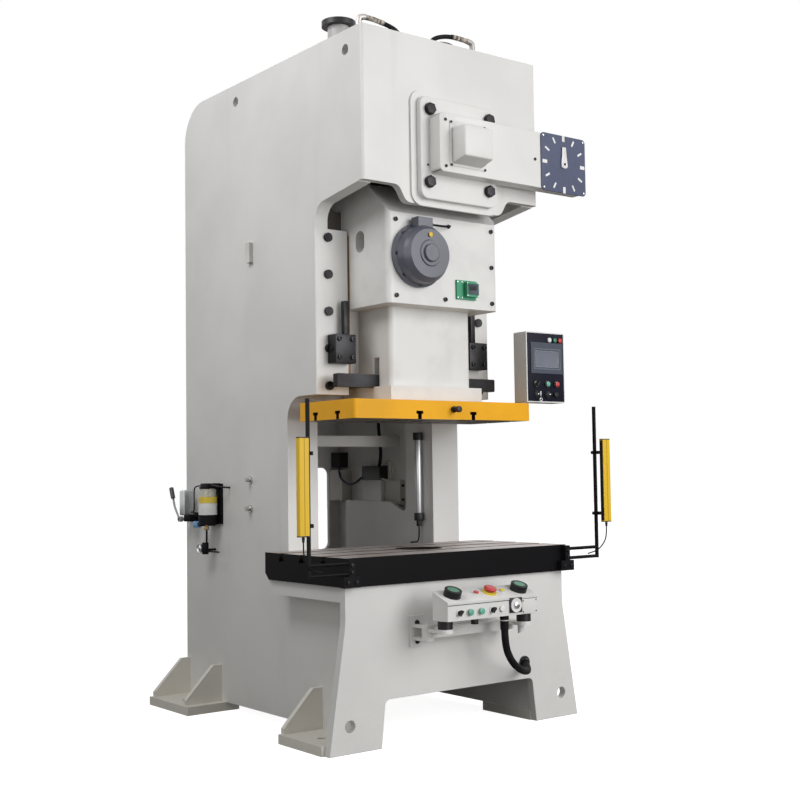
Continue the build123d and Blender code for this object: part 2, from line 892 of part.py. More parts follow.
with BuildPart() as flywheel:
    with BuildSketch(Plane.YZ):
        with BuildLine():
            bore = pinion_height + pinion_shaft_radius + fit_gap
            Polyline(
                (back(flywheel_depth), bore),
                (back(flywheel_depth), pinion_height + 125.0),
                (back(flywheel_depth + 70.0), pinion_height + 125.0),
                (back(flywheel_depth + 70.0), pinion_height + rim_inner),
                (back(flywheel_depth), pinion_height + rim_inner),
                (back(flywheel_depth), pinion_height + flywheel_radius),
                *grooved_rim(flywheel_radius, pinion_height, first_groove),
                (back(flywheel_back), pinion_height + flywheel_radius),
                (back(flywheel_back), pinion_height + rim_inner),
                (back(flywheel_depth + 110.0), pinion_height + rim_inner),
                (back(flywheel_depth + 110.0), pinion_height + 125.0),
                (back(flywheel_back), pinion_height + 125.0),
                (back(flywheel_back), bore),
                close=True,
            )
        make_face()
    revolve(axis=Axis((0, 0, pinion_height), (0, 1, 0)))
    with BuildSketch(facing_front(flywheel_depth)):
        with Locations((0, pinion_height)):
            with PolarLocations(240.0, 6):
                Circle(60.0)
    extrude(amount=-flywheel_width, mode=Mode.SUBTRACT)
save(flywheel.part, "flywheel")

# The drive motor on its shelf, its pulley, and the belts

motor_shaft_radius = 24.0
motor_back = motor_depth + motor_length
fin_count = 20

with BuildPart() as drive_motor:
    round_bar(0, motor_height, (motor_depth, motor_back), motor_radius - 16.0)
    round_bar(0, motor_height, (motor_back - 22.0, motor_back), motor_radius)
    round_bar(0, motor_height, (motor_depth, motor_depth + 60.0), motor_radius - 4.0)
    fin_span = (motor_depth + 70.0, motor_back - 22.0)
    for index in range(fin_count):
        angle = 360.0 * index / fin_count
        middle = Vector(motor_radius - 14.0, 0, 0).rotate(Axis.Z, angle)
        fin_middle = (middle.X, back(sum(fin_span) / 2), motor_height + middle.Y)
        with Locations(Location(fin_middle, (0, -angle, 0))):
            Box(16.0, fin_span[1] - fin_span[0], 5.0)
    block((-125.0, 125.0), (motor_depth + 30.0, motor_back - 40.0), (shelf_height, shelf_height + 22.0))
    block((-95.0, 95.0), (motor_depth + 40.0, motor_back - 50.0), (shelf_height + 22.0, motor_height - 60.0))
    round_bar(0, motor_height, (motor_back - 40.0, motor_back), motor_shaft_radius + fit_gap, mode=Mode.SUBTRACT)
save(drive_motor.part, "drive_motor")

with BuildPart() as motor_pulley:
    with BuildSketch(Plane.YZ):
        with BuildLine():
            Polyline(
                (back(motor_back - 36.0), motor_height),
                (back(motor_back - 36.0), motor_height + motor_shaft_radius),
                (back(flywheel_depth + 4.0), motor_height + motor_shaft_radius),
                (back(flywheel_depth + 4.0), motor_height + motor_pulley_radius),
                *grooved_rim(motor_pulley_radius, motor_height, first_groove),
                (back(flywheel_back - 4.0), motor_height + motor_pulley_radius),
                (back(flywheel_back - 4.0), motor_height),
                close=True,
            )
        make_face()
    revolve(axis=Axis((0, 0, motor_height), (0, 1, 0)))
save(motor_pulley.part, "motor_pulley")


def belt_loop(centres, radii, depth, width, thickness):
    """An endless belt round two pulleys, just clear of both."""
    with BuildSketch(facing_front(depth)) as loop:
        for grow, mode in ((thickness + part_gap, Mode.ADD), (part_gap, Mode.SUBTRACT)):
            with BuildSketch(facing_front(depth), mode=mode):
                for centre, radius in zip(centres, radii):
                    with Locations(centre):
                        Circle(radius + grow)
                make_hull()
    extrude(loop.sketch, amount=-width)


with BuildPart() as drive_belts:
    for index in range(belt_count):
        belt_loop(
            ((0, pinion_height), (0, motor_height)),
            (flywheel_radius, motor_pulley_radius),
            first_groove + index * groove_pitch - belt_width / 2,
            belt_width,
            belt_thickness,
        )
    belt_loop(
        ((0, crank_height), (dial_x, crank_height)),
        (belt_pulley_radius, belt_pulley_radius),
        -88.0,
        20.0,
        5.0,
    )
save(drive_belts.part, "drive_belts")

# The sheet metal guard over the flywheel, with louvres

guard_depth = 70.0
guard_wall = 5.0
louvre_rows = 8

with BuildPart() as rear_guard:
    block(
        (-guard_half_width - 25.0, guard_half_width + 25.0),
        (frame_depth, frame_depth + guard_wall),
        (guard_bottom - 25.0, guard_top + 25.0),
    )
    block(
        (-guard_half_width, guard_half_width),
        (frame_depth, frame_depth + guard_depth),
        (guard_bottom, guard_top),
    )
    fillet(rear_guard.faces().sort_by(Axis.Y)[-1].outer_wire().edges(), radius=14.0)
    block(
        (-guard_half_width + guard_wall, guard_half_width - guard_wall),
        (frame_depth, frame_depth + guard_depth - guard_wall),
        (guard_bottom + guard_wall, guard_top - guard_wall),
        mode=Mode.SUBTRACT,
    )
    with BuildSketch(facing_front(frame_depth + guard_depth - guard_wall)):
        with Locations((0, (guard_bottom + guard_top) / 2)):
            with GridLocations(400.0, 90.0, 2, louvre_rows):
                SlotOverall(300.0, 22.0)
    extrude(amount=-guard_wall, mode=Mode.SUBTRACT)
save(rear_guard.part, "rear_guard")

# The connecting rod with its ball end, and the cap of its big end

rod_split = pin_height
rod_shank_radius = 55.0

with BuildPart() as connecting_rod:
    with BuildSketch(facing_front(rod_front)):
        with Locations((0, pin_height)):
            Circle(big_end_radius)
        with Locations((0, pin_height - 75.0)):
            Rectangle(2 * big_end_radius, 150.0)
        with Locations((0, pin_height + big_end_radius / 2)):
            Rectangle(2 * big_end_radius + 2, big_end_radius, mode=Mode.SUBTRACT)
    extrude(amount=-rod_width)
    with BuildSketch(Plane.XY.offset(pin_height - 150.0)):
        with Locations((0, back(rod_centre_depth))):
            Rectangle(2 * big_end_radius, rod_width)
    with BuildSketch(Plane.XY.offset(pin_height - 260.0)):
        with Locations((0, back(rod_centre_depth))):
            Rectangle(2 * rod_shank_radius, 2 * rod_shank_radius)
    loft()
    upright(0, rod_centre_depth, (ball_height, pin_height - 250.0), rod_shank_radius)
    with Locations((0, back(rod_centre_depth), ball_height)):
        Sphere(ball_radius)
    round_bar(0, pin_height, (rod_front, rod_back), crank_pin_radius + fit_gap, mode=Mode.SUBTRACT)
save(connecting_rod.part, "connecting_rod")

with BuildPart() as rod_cap:
    with BuildSketch(facing_front(rod_front)):
        with Locations((0, pin_height)):
            Circle(big_end_radius - 20.0)
        with Locations((0, pin_height + 32.0)):
            Rectangle(2 * big_end_radius, 64.0)
        with Locations((0, pin_height - big_end_radius / 2)):
            Rectangle(2 * big_end_radius + 2, big_end_radius, mode=Mode.SUBTRACT)
    extrude(amount=-rod_width)
    for side in (-1, 1):
        with Locations(
            (side * (big_end_radius - 26.0), back(rod_centre_depth - 38.0), pin_height + 72.0),
            (side * (big_end_radius - 26.0), back(rod_centre_depth + 38.0), pin_height + 72.0),
        ):
            Cylinder(20.0, 16.0)
    round_bar(0, pin_height, (rod_front, rod_back), crank_pin_radius + fit_gap, mode=Mode.SUBTRACT)
save(rod_cap.part, "rod_cap")

# The slide: a hollow casting, wide above and narrow below, with guide wings behind the gib plates

nut_radius = 70.0
nut_bottom = slide_bottom + 40.0
nut_top = ball_height - ball_radius - ball_clearance + 10.0
wheel_bottom = nut_top - wheel_thickness
pocket_half_width = 190.0
pocket_front = rod_front - 12.5
pocket_back = rod_back + 12.5
pocket_floor = nut_top
slide_slope_back = slide_front + 149.0
wing_top = slide_shoulder + 50.0
wing_bottom = plate_top + 92.0
side_window_depth = pocket_back - 36.0
side_window_height = slide_bottom + 309.0
piston_bottom = slide_top + 450.0

with BuildPart() as slide_body:
    with BuildSketch(Plane.YZ.offset(-slide_half_width)):
        with BuildLine():
            Polyline(
                (back(slide_front), slide_bottom),
                (back(slide_front), slide_shoulder),
                (back(slide_slope_back), slide_top),
                (back(slide_back), slide_top),
                (back(slide_back), slide_bottom),
                close=True,
            )
        make_face()
    extrude(amount=2 * slide_half_width)
    box_edges = slide_body.edges().filter_by(Axis.Z).group_by(Axis.Y)[0]
    fillet(box_edges, radius=30.0)
    block(
        (-neck_half_width, neck_half_width),
        (neck_front, neck_back),
        (plate_top, slide_bottom),
    )
    neck_edges = slide_body.edges().filter_by(Axis.Z).group_by(Axis.Z)[0].group_by(Axis.Y)[0]
    fillet(neck_edges, radius=26.0)
    block(
        (-flange_half_width, flange_half_width),
        (flange_front, slide_back),
        (plate_top, plate_top + flange_thickness),
    )
    block(
        (-guide_half_width, guide_half_width),
        (guide_front, slide_back),
        (wing_bottom, wing_top),
    )
    for side in (-1, 1):
        upright(side * balance_x, balance_depth, (slide_top, piston_bottom), balance_rod_radius)
        piston_range = (piston_bottom, piston_bottom + 50.0)
        upright(side * balance_x, balance_depth, piston_range, balance_piston_radius)
    block(
        (-pocket_half_width, pocket_half_width),
        (pocket_front, pocket_back),
        (pocket_floor, slide_top),
        mode=Mode.SUBTRACT,
    )
    upright(
        0,
        rod_centre_depth,
        (wheel_bottom - part_gap, pocket_floor),
        wheel_radius + 5.0,
        mode=Mode.SUBTRACT,
    )
    upright(0, rod_centre_depth, (nut_bottom - 5.0, nut_top), nut_radius + 0.08, mode=Mode.SUBTRACT)
    round_bar(
        worm_x,
        worm_height,
        (slide_front, pocket_back),
        worm_radius + 1.0,
        mode=Mode.SUBTRACT,
    )
    block(
        (worm_x - worm_radius - 1.0, worm_x + worm_radius + 1.0),
        (pocket_front, pocket_back),
        (worm_height, pocket_floor + 1.0),
        mode=Mode.SUBTRACT,
    )
    for window_x in (-slide_half_width, pocket_half_width):
        with BuildSketch(Plane.YZ.offset(window_x)):
            with Locations((back(side_window_depth), side_window_height)):
                SlotOverall(103.0, 70.0, rotation=90)
        extrude(amount=slide_half_width - pocket_half_width, mode=Mode.SUBTRACT)
    block(
        (-flange_half_width, flange_half_width),
        (knockout_depth - knockout_width / 2 - 2.0, knockout_depth + knockout_width / 2 + 2.0),
        (knockout_bottom, knockout_slot_top),
        mode=Mode.SUBTRACT,
    )
save(slide_body.part, "slide_body")

# The yellow slide plate with T-slots in both directions and the shank hole

slot_opening = 22.0
slot_head = 40.0
slot_head_height = 14.0
slot_depth = 38.0

with BuildPart() as slide_plate:
    block((-plate_half_width, plate_half_width), (slide_front, slide_back), (plate_bottom, plate_top))
    chamfer(slide_plate.edges().filter_by(Axis.Z), length=6.0)
    for slot_at in plate_slot_depths:
        with BuildSketch(Plane.YZ.offset(-plate_half_width)):
            with Locations((back(slot_at), plate_bottom)):
                with Locations((0, slot_depth / 2)):
                    Rectangle(slot_opening, slot_depth)
                with Locations((0, slot_depth - slot_head_height / 2)):
                    Rectangle(slot_head, slot_head_height)
        extrude(amount=2 * plate_half_width, mode=Mode.SUBTRACT)
    for slot_at in (-cross_slot_x, cross_slot_x):
        with BuildSketch(facing_front(slide_front)):
            with Locations((slot_at, plate_bottom)):
                with Locations((0, slot_depth / 2)):
                    Rectangle(slot_opening, slot_depth)
                with Locations((0, slot_depth - slot_head_height / 2)):
                    Rectangle(slot_head, slot_head_height)
        extrude(amount=-(slide_back - slide_front), mode=Mode.SUBTRACT)
    upright(0, shank_depth, (plate_bottom, plate_bottom + 75.0), 32.5, mode=Mode.SUBTRACT)
save(slide_plate.part, "slide_plate")

# The slide adjustment: threaded nut with its worm wheel, the worm, and the motor on the slide's front

with BuildPart() as adjust_nut:
    upright(0, rod_centre_depth, (nut_bottom, wheel_bottom), nut_radius)
    upright(0, rod_centre_depth, (wheel_bottom, nut_top - 14.0), wheel_radius)
    upright(0, rod_centre_depth, (nut_top - 14.0, nut_top), 100.0)
    with Locations((0, back(rod_centre_depth), ball_height)):
        Sphere(ball_radius + ball_clearance, mode=Mode.SUBTRACT)
save(adjust_nut.part, "adjust_nut")

worm_start = 66.0
worm_thread_start = 150.0

with BuildPart() as adjust_worm:
    with BuildSketch(Plane.YZ.offset(worm_x)):
        with BuildLine():
            thread = []
            for index in range(7):
                tooth = worm_thread_start + 18.0 + 24.0 * index
                thread.append((back(tooth - 9.0), worm_height + worm_radius - 12.0))
                thread.append((back(tooth - 4.0), worm_height + worm_radius))
                thread.append((back(tooth + 4.0), worm_height + worm_radius))
                thread.append((back(tooth + 9.0), worm_height + worm_radius - 12.0))
            Polyline(
                (back(worm_start), worm_height),
                (back(worm_start), worm_height + 16.0),
                (back(worm_thread_start), worm_height + 16.0),
                (back(worm_thread_start), worm_height + worm_radius - 12.0),
                *thread,
                (back(pocket_back - 4.0), worm_height + worm_radius - 12.0),
                (back(pocket_back - 4.0), worm_height),
                close=True,
            )
        make_face()
    revolve(axis=Axis((worm_x, 0, worm_height), (0, 1, 0)))
save(adjust_worm.part, "adjust_worm")

with BuildPart() as adjust_motor:
    with BuildSketch(Plane.YZ.offset(worm_x)):
        with BuildLine():
            Polyline(
                (back(slide_front), worm_height + 16.0 + fit_gap),
                (back(slide_front), worm_height + adjust_motor_radius),
                (back(slide_front - 18.0), worm_height + adjust_motor_radius),
                (back(slide_front - 24.0), worm_height + adjust_motor_radius - 12.0),
                (back(12.0), worm_height + adjust_motor_radius - 16.0),
                (back(-4.0), worm_height + 122.0),
                (back(-18.0), worm_height + 112.0),
                (back(-18.0), worm_height + 62.0),
                (back(-24.0), worm_height + 58.0),
                (back(-24.0), worm_height),
                (back(worm_start - 2.0), worm_height),
                (back(worm_start - 2.0), worm_height + 16.0 + fit_gap),
                close=True,
            )
        make_face()
    revolve(axis=Axis((worm_x, 0, worm_height), (0, 1, 0)))
    block((worm_x - 42.0, worm_x + 42.0), (14.0, 66.0), (worm_height + 120.0, worm_height + 172.0))
save(adjust_motor.part, "adjust_motor")

with BuildPart() as height_counter:
    block(
        (65.0, 185.0),
        (slide_front - 10.0, slide_front),
        (slide_bottom + 42.0, slide_bottom + 133.0),
    )
    block(
        (108.0, 182.0),
        (slide_front - 34.0, slide_front - 10.0),
        (slide_bottom + 54.0, slide_bottom + 124.0),
    )
    fillet(height_counter.edges().filter_by(Axis.Y).group_by(Axis.Y)[0], radius=5.0)
save(height_counter.part, "height_counter")

# The counterbalance cylinders that carry the slide's weight; they rise through the top plate

cylinder_bottom = slide_top + 100.0

with BuildPart() as balance_cylinders:
    for side in (-1, 1):
        upright(side * balance_x, balance_depth, (cylinder_bottom, balance_top), balance_radius)
        upright(side * balance_x, balance_depth, (balance_top - 26.0, balance_top), balance_rim_radius)
        upright(
            side * balance_x,
            balance_depth,
            (frame_height, frame_height + 14.0),
            balance_radius + 22.0,
        )
        upright(
            side * balance_x,
            balance_depth,
            (cylinder_bottom + 20.0, balance_top - 26.0),
            balance_piston_radius + 0.1,
            mode=Mode.SUBTRACT,
        )
        upright(
            side * balance_x,
            balance_depth,
            (cylinder_bottom, cylinder_bottom + 20.0),
            balance_rod_radius + 0.08,
            mode=Mode.SUBTRACT,
        )
save(balance_cylinders.part, "balance_cylinders")

# The knock-out bar through the slide's neck

with BuildPart() as knockout_bar:
    block(
        (-knockout_half_length, knockout_half_length),
        (knockout_depth - knockout_width / 2, knockout_depth + knockout_width / 2),
        (knockout_bottom + part_gap, knockout_bottom + knockout_height),
    )
    fillet(knockout_bar.edges().filter_by(Axis.Y), radius=6.0)
save(knockout_bar.part, "knockout_bar")

# The bolster plate with three T-slots and the central hole

with BuildPart() as bolster:
    block(
        (-bolster_half_width, bolster_half_width),
        (-bolster_overhang, lower_throat_depth),
        (bolster_bottom, bolster_top),
    )
    chamfer(
        bolster.edges().filter_by(Axis.X).group_by(Axis.Z)[0].sort_by(Axis.Y)[-1],
        length=30.0,
    )
    for slot_at in (155.0, 330.0, lower_throat_depth - 140.0):
        with BuildSketch(Plane.YZ.offset(-bolster_half_width)):
            with Locations((back(slot_at), bolster_top)):
                with Locations((0, -slot_depth / 2)):
                    Rectangle(slot_opening + 4.0, slot_depth)
                with Locations((0, -slot_depth + slot_head_height / 2)):
                    Rectangle(slot_head + 2.0, slot_head_height)
        extrude(amount=2 * bolster_half_width, mode=Mode.SUBTRACT)
    hole_range = (bolster_bottom, bolster_top)
    upright(0, die_centre_depth, hole_range, scrap_hole_radius - 15.0, mode=Mode.SUBTRACT)
save(bolster.part, "bolster")

# The light curtain posts with their clamps, the rods, and the corner blocks on the bolster

rod_heights = (bolster_top - 65.0, bolster_top - 20.0)
clamp_heights = (curtain_bottom + 42.0, curtain_top - 66.0)
corner_depths = (-bolster_overhang - 30.0, -bolster_overhang)
curtain_inner = curtain_x - curtain_width / 2

with BuildPart() as curtain_posts:
    for side in (-1, 1):
        block(
            (side * (post_x - post_side / 2), side * (post_x + post_side / 2)),
            (post_depth - post_side / 2, post_depth + post_side / 2),
            (post_bottom, post_top),
        )
        for height in rod_heights:
            cross_bar((side * (bolster_half_width - 10.0), side * post_x), post_depth, height, 8.0)
        block(
            (side * (bolster_half_width - 30.0), side * bolster_half_width),
            corner_depths,
            (bolster_bottom + 50.0, bolster_top - 4.0),
        )
        block(
            (side * (bolster_half_width - 58.0), side * (bolster_half_width + 26.0)),
            corner_depths,
            (bolster_bottom + 2.0, bolster_bottom + 50.0),
        )
        for height in clamp_heights:
            clamp_range = (height - 8.0, height + 8.0)
            block(
                (side * (post_x - 12.0), side * (post_x + 12.0)),
                (post_depth - 12.0, post_depth + 12.0),
                clamp_range,
            )
            block(
                (side * (post_x - 6.0), side * curtain_inner),
                (curtain_depth - 4.0, post_depth - 12.0),
                clamp_range,
            )
            cross_bar((side * (post_x - 23.0), side * (post_x - 12.0)), post_depth, height, 6.0)
save(curtain_posts.part, "curtain_posts")

with BuildPart() as light_curtains:
    for side in (-1, 1):
        block(
            (side * curtain_inner, side * (curtain_inner + curtain_width)),
            (curtain_depth - curtain_thickness / 2, curtain_depth + curtain_thickness / 2),
            (curtain_bottom, curtain_top),
        )
    fillet(light_curtains.edges().filter_by(Axis.Z), radius=7.0)
save(light_curtains.part, "light_curtains")

# The tube lamp on the right column

lamp_x = column_inner - 30.0
lamp_depth = lower_throat_depth + 82.0
lamp_bottom = bolster_top + 152.0
lamp_top = lamp_bottom + 379.0

with BuildPart() as work_lamp:
    upright(lamp_x, lamp_depth, (lamp_bottom, lamp_top), 22.0)
    for cap_range in ((lamp_bottom - 40.0, lamp_bottom), (lamp_top, lamp_top + 40.0)):
        upright(lamp_x, lamp_depth, cap_range, 27.0)
        block((lamp_x, column_inner), (lamp_depth - 12.0, lamp_depth + 12.0), cap_range)
save(work_lamp.part, "work_lamp")

# The air valves and boxes on the right wall behind the throat

panel_base = bolster_top + 187.0

with BuildPart() as air_panel:
    block(
        (388.0, side_inner),
        (frame_depth - 150.0, frame_depth - sheet_thickness),
        (panel_base + 20.0, panel_base + 195.0),
    )
    block(
        (398.0, side_inner),
        (frame_depth - 112.0, frame_depth - 30.0),
        (panel_base + 210.0, panel_base + 296.0),
    )
    block(
        (400.0, side_inner),
        (frame_depth - 498.0, frame_depth - 330.0),
        (panel_base + 135.0, panel_base + 215.0),
    )
    block(
        (425.0, side_inner),
        (frame_depth - 650.0, frame_depth - 505.0),
        (panel_base, panel_base + 135.0),
    )
    upright(430.0, frame_depth - 431.0, (panel_base + 40.0, panel_base + 135.0), 10.0)
save(air_panel.part, "air_panel")

# The hand lubricator on the left side plate: plates, reservoir base, pump body and valve below

lube_x = -frame_half_width - 60.0
lube_base = bolster_top + 107.0
lube_plate_x = -frame_half_width - 12.0
reservoir_depth = frame_depth - 345.0
reservoir_bottom = lube_base + 60.0
reservoir_top = reservoir_bottom + 130.0
reservoir_radius = 42.0
pump_depth = frame_depth - 130.0
lever_pivot_depth = frame_depth - 59.0
lever_pivot_height = lube_base + 26.0
lever_x = lube_x - 8.0
lever_pin_radius = 7.0

with BuildPart() as lubricator_pump:
    block(
        (lube_plate_x, -frame_half_width),
        (reservoir_depth - 53.0, reservoir_depth + 30.0),
        (lube_base + 5.0, reservoir_top + 22.0),
    )
    block(
        (lube_x - 45.0, lube_plate_x),
        (reservoir_depth - 53.0, reservoir_depth + 55.0),
        (reservoir_top, reservoir_top + 22.0),
    )
    upright(lube_x, reservoir_depth, (lube_base + 5.0, reservoir_bottom), reservoir_radius + 3.0)
    block(
        (lube_x, lube_plate_x),
        (reservoir_depth - 25.0, reservoir_depth + 25.0),
        (lube_base + 5.0, reservoir_bottom),
    )
    block(
        (lube_x - 36.0, -frame_half_width),
        (pump_depth - 50.0, pump_depth + 50.0),
        (lube_base + 45.0, lube_base + 175.0),
    )
    upright(lube_x, pump_depth - 5.0, (lube_base + 10.0, lube_base + 45.0), 34.0)
    block(
        (lube_plate_x, -frame_half_width),
        (pump_depth, lever_pivot_depth + 16.0),
        (lever_pivot_height - 16.0, lube_base + 60.0),
    )
    cross_bar(
        (lever_x - 11.0, -frame_half_width),
        lever_pivot_depth,
        lever_pivot_height,
        lever_pin_radius,
    )
    cross_bar(
        (lever_x + 11.0 + part_gap, -frame_half_width),
        lever_pivot_depth,
        lever_pivot_height,
        lever_pin_radius + 5.0,
    )
    upright(lube_x, reservoir_depth + 15.0, (lube_base - 90.0, lube_base + 5.0), 6.0)
    upright(lube_x, reservoir_depth + 30.0, (lube_base - 150.0, lube_base - 90.0), 17.0)
    cross_bar((lube_x, -frame_half_width), reservoir_depth + 30.0, lube_base - 128.0, 6.0)
    round_bar(lube_x, lube_base - 134.0, (reservoir_depth - 112.0, reservoir_depth + 30.0), 5.0)
save(lubricator_pump.part, "lubricator_pump")

with BuildPart() as oil_reservoir:
    upright(lube_x, reservoir_depth, (reservoir_bottom, reservoir_top), reservoir_radius)
    upright(
        lube_x,
        reservoir_depth,
        (reservoir_bottom + 4.0, reservoir_top - 4.0),
        reservoir_radius - 3.0,
        mode=Mode.SUBTRACT,
    )
save(oil_reservoir.part, "oil_reservoir")

with BuildPart() as lubricator_lever:
    lever_y = back(lever_pivot_depth)
    with BuildLine():
        FilletPolyline(
            (lever_x, lever_y, lever_pivot_height),
            (lever_x, lever_y + 26.0, lever_pivot_height + 14.0),
            (lever_x, lever_y + 66.0, lever_pivot_height + 64.0),
            (lever_x, lever_y + 87.6, lever_pivot_height + 119.3),
            radius=18.0,
        )
    with BuildSketch(Plane((lever_x, lever_y, lever_pivot_height), z_dir=(0, 26, 14))):
        Circle(5.5)
    sweep()
    grip_middle = (lever_x, lever_y + 95.0, lever_pivot_height + 138.0)
    with Locations(Location(grip_middle, (-21.4, 0, 0))):
        Cylinder(12.0, 60.0)
    fillet(lubricator_lever.edges().sort_by(Axis.Z)[-1], radius=5.0)
    cross_bar((lever_x - 11.0, lever_x + 11.0), lever_pivot_depth, lever_pivot_height, 15.0)
    cross_bar(
        (lever_x - 11.0, lever_x + 11.0),
        lever_pivot_depth,
        lever_pivot_height,
        lever_pin_radius + fit_gap,
        mode=Mode.SUBTRACT,
    )
save(lubricator_lever.part, "lubricator_lever")

# Pipes on the head's top, and the small fittings on the left side plate

hose_fitting = (384.0, 287.0)
hose_end = (376.0, -14.0, 283.0)

fitting_depth = frame_depth - 675.0

with BuildPart() as pipe_fittings:
    for height in (bolster_top + 195.0, bolster_top + 338.0):
        cross_bar((-frame_half_width - 34.0, -frame_half_width), fitting_depth, height, 11.0)
        cross_bar((-frame_half_width - 10.0, -frame_half_width), fitting_depth, height, 19.0)
    block(
        (-frame_half_width - 22.0, -frame_half_width),
        (fitting_depth - 40.0, fitting_depth),
        (slide_bottom + 285.0, slide_bottom + 385.0),
    )
    round_bar(*hose_fitting, (apron_front - 9.0, apron_front), 30.0)
    with BuildSketch(Plane((hose_end[0], back(hose_end[1]), hose_end[2]), z_dir=(18, 34, 11))):
        Circle(22.0)
    extrude(amount=30.0)
    block(
        (hose_fitting[0] - 60.0, hose_fitting[0] + 60.0),
        (apron_front, apron_front + 40.0),
        (hose_fitting[1] - 60.0, hose_fitting[1] + 60.0),
        mode=Mode.SUBTRACT,
    )
save(pipe_fittings.part, "pipe_fittings")

# The two-hand console: sloped housing, collars and fixed lamps

console_middle = (console_left + console_right) / 2
lid_rise = console_back_height - console_front_height
lid_run = console_back - console_front
lid_length = hypot(lid_rise, lid_run)
lid_normal = (0, -lid_rise / lid_length, lid_run / lid_length)


def on_lid(x, along, above=0.0):
    """A plane on the sloped lid; along is the share of the way from its front edge."""
    origin = Vector(
        x,
        back(console_front + lid_run * along),
        console_bottom + console_front_height + lid_rise * along,
    )
    return Plane(origin + Vector(*lid_normal) * above, x_dir=(1, 0, 0), z_dir=lid_normal)


collar_radius = 38.0
collar_height = 32.0
palm_radius = 32.0
palm_positions = (console_middle - palm_spacing / 2, console_middle + palm_spacing / 2)
stop_x = console_middle + 22.0
selector_positions = (-227.0, -37.0)
push_positions = (-167.0, -104.0)
control_height = console_bottom + 34.0
selector_radius = 13.0
push_radius = 12.0

with BuildPart() as console_box:
    with BuildSketch(Plane.YZ.offset(console_left)):
        with BuildLine():
            Polyline(
                (back(console_front), console_bottom),
                (back(console_front), console_bottom + console_front_height),
                (back(console_back), console_bottom + console_back_height),
                (back(console_back), console_bottom),
                close=True,
            )
        make_face()
    extrude(amount=console_right - console_left)
    fillet(console_box.edges().filter_by(Axis.Z), radius=5.0)
    for x in palm_positions:
        with BuildSketch(on_lid(x, 0.5)):
            Circle(collar_radius)
        extrude(amount=collar_height)
        with BuildSketch(on_lid(x, 0.5, collar_height)):
            Circle(palm_radius + part_gap)
        extrude(amount=-22.0, mode=Mode.SUBTRACT)
    with BuildSketch(on_lid(stop_x, 0.5)):
        Circle(30.0)
    extrude(amount=10.0)
    with BuildSketch(on_lid(stop_x, 0.5, 10.0)):
        Circle(10.0 + part_gap)
    extrude(amount=-14.0, mode=Mode.SUBTRACT)
    for x, radius in ((-84.0, 13.0), (70.0, 12.0)):
        with BuildSketch(on_lid(x, 0.5)):
            Circle(radius)
        extrude(amount=8.0)
    for x in selector_positions + push_positions:
        round_bar(x, control_height, (console_front - 4.0, console_front), push_radius + 4.0)
        round_bar(
            x,
            control_height,
            (console_front - 4.0, console_front + 16.0),
            push_radius - 2.0 + part_gap,
            mode=Mode.SUBTRACT,
        )
    round_bar(19.0, control_height, (console_front - 6.0, console_front), 12.0)
    block(
        (66.0, 138.0),
        (console_front - 6.0, console_front),
        (console_bottom + 12.0, console_bottom + 77.0),
    )
    upright(80.0, -200.0, (console_bottom - 28.0, console_bottom), 20.0)
save(console_box.part, "console_box")


def palm_button(x):
    with BuildPart() as button:
        with BuildSketch(on_lid(x, 0.5, collar_height - 14.0)):
            Circle(palm_radius)
        extrude(amount=15.0)
        fillet(button.edges().filter_by(GeomType.CIRCLE).sort_by(Axis.Z)[-1], radius=3.0)
    return button.part


palm_button_left = palm_button(palm_positions[0])
palm_button_right = palm_button(palm_positions[1])
save(palm_button_left, "palm_button_left")
save(palm_button_right, "palm_button_right")

with BuildPart() as stop_button:
    with BuildSketch(on_lid(stop_x, 0.5, 2.0)):
        Circle(10.0)
    extrude(amount=22.0)
    with BuildSketch(on_lid(stop_x, 0.5, 18.0)):
        Circle(24.0)
    extrude(amount=16.0)
    fillet(stop_button.edges().filter_by(GeomType.CIRCLE).sort_by(Axis.Z)[-1], radius=6.0)
save(stop_button.part, "stop_button")


def selector_switch(x, height, depth, stem_radius):
    """A short shaft with a finger grip across it, on a face at this depth."""
    with BuildPart() as switch:
        round_bar(x, height, (depth - 8.0, depth + 14.0), stem_radius)
        with Locations(Location((x, back(depth - 15.0), height), (0, 40, 0))):
            Box(9.0, 16.0, 25.0)
    return switch.part


def push_button(x, height, depth, stem_radius):
    """A short plunger that stands out of the face at this depth."""
    with BuildPart() as button:
        round_bar(x, height, (depth - 12.0, depth + 10.0), stem_radius)
        fillet(button.edges().filter_by(GeomType.CIRCLE).sort_by(Axis.Y)[0], radius=2.0)
    return button.part


for name, x in (("console_selector_left", selector_positions[0]), ("console_selector_right", selector_positions[1])):
    save(selector_switch(x, control_height, console_front, push_radius - 2.0), name)
for name, x in (("console_button_left", push_positions[0]), ("console_button_right", push_positions[1])):
    save(push_button(x, control_height, console_front, push_radius - 2.0), name)

# The console's swing arm, and the brackets on the frame that carry the console and the pendant

arm_pivot_x = -262.0
arm_pivot_depth = -75.0
arm_bottom = console_bottom - 85.0
arm_top = console_bottom - 43.0
arm_pin_radius = 10.0

with BuildPart() as console_arm:
    upright(arm_pivot_x, arm_pivot_depth, (arm_bottom, arm_top), 26.0)
    block((arm_pivot_x, 250.0), (-100.0, -62.0), (arm_bottom, arm_top))
    for x, depth in ((console_left + 40.0, -183.0), (console_right - 34.0, -195.0)):
        block((x - 30.0, x + 30.0), (depth, -100.0), (arm_top - 14.0, arm_top))
        upright(x, depth, (arm_top - 14.0, arm_top), 34.0)
        upright(x, depth, (arm_top, console_bottom), 33.0)
    upright(
        arm_pivot_x,
        arm_pivot_depth,
        (arm_bottom, arm_top),
        arm_pin_radius + fit_gap,
        mode=Mode.SUBTRACT,
    )
    upright(console_right - 30.0, -170.0, (arm_bottom - 10.0, arm_top - 14.0), 14.0)
save(console_arm.part, "console_arm")

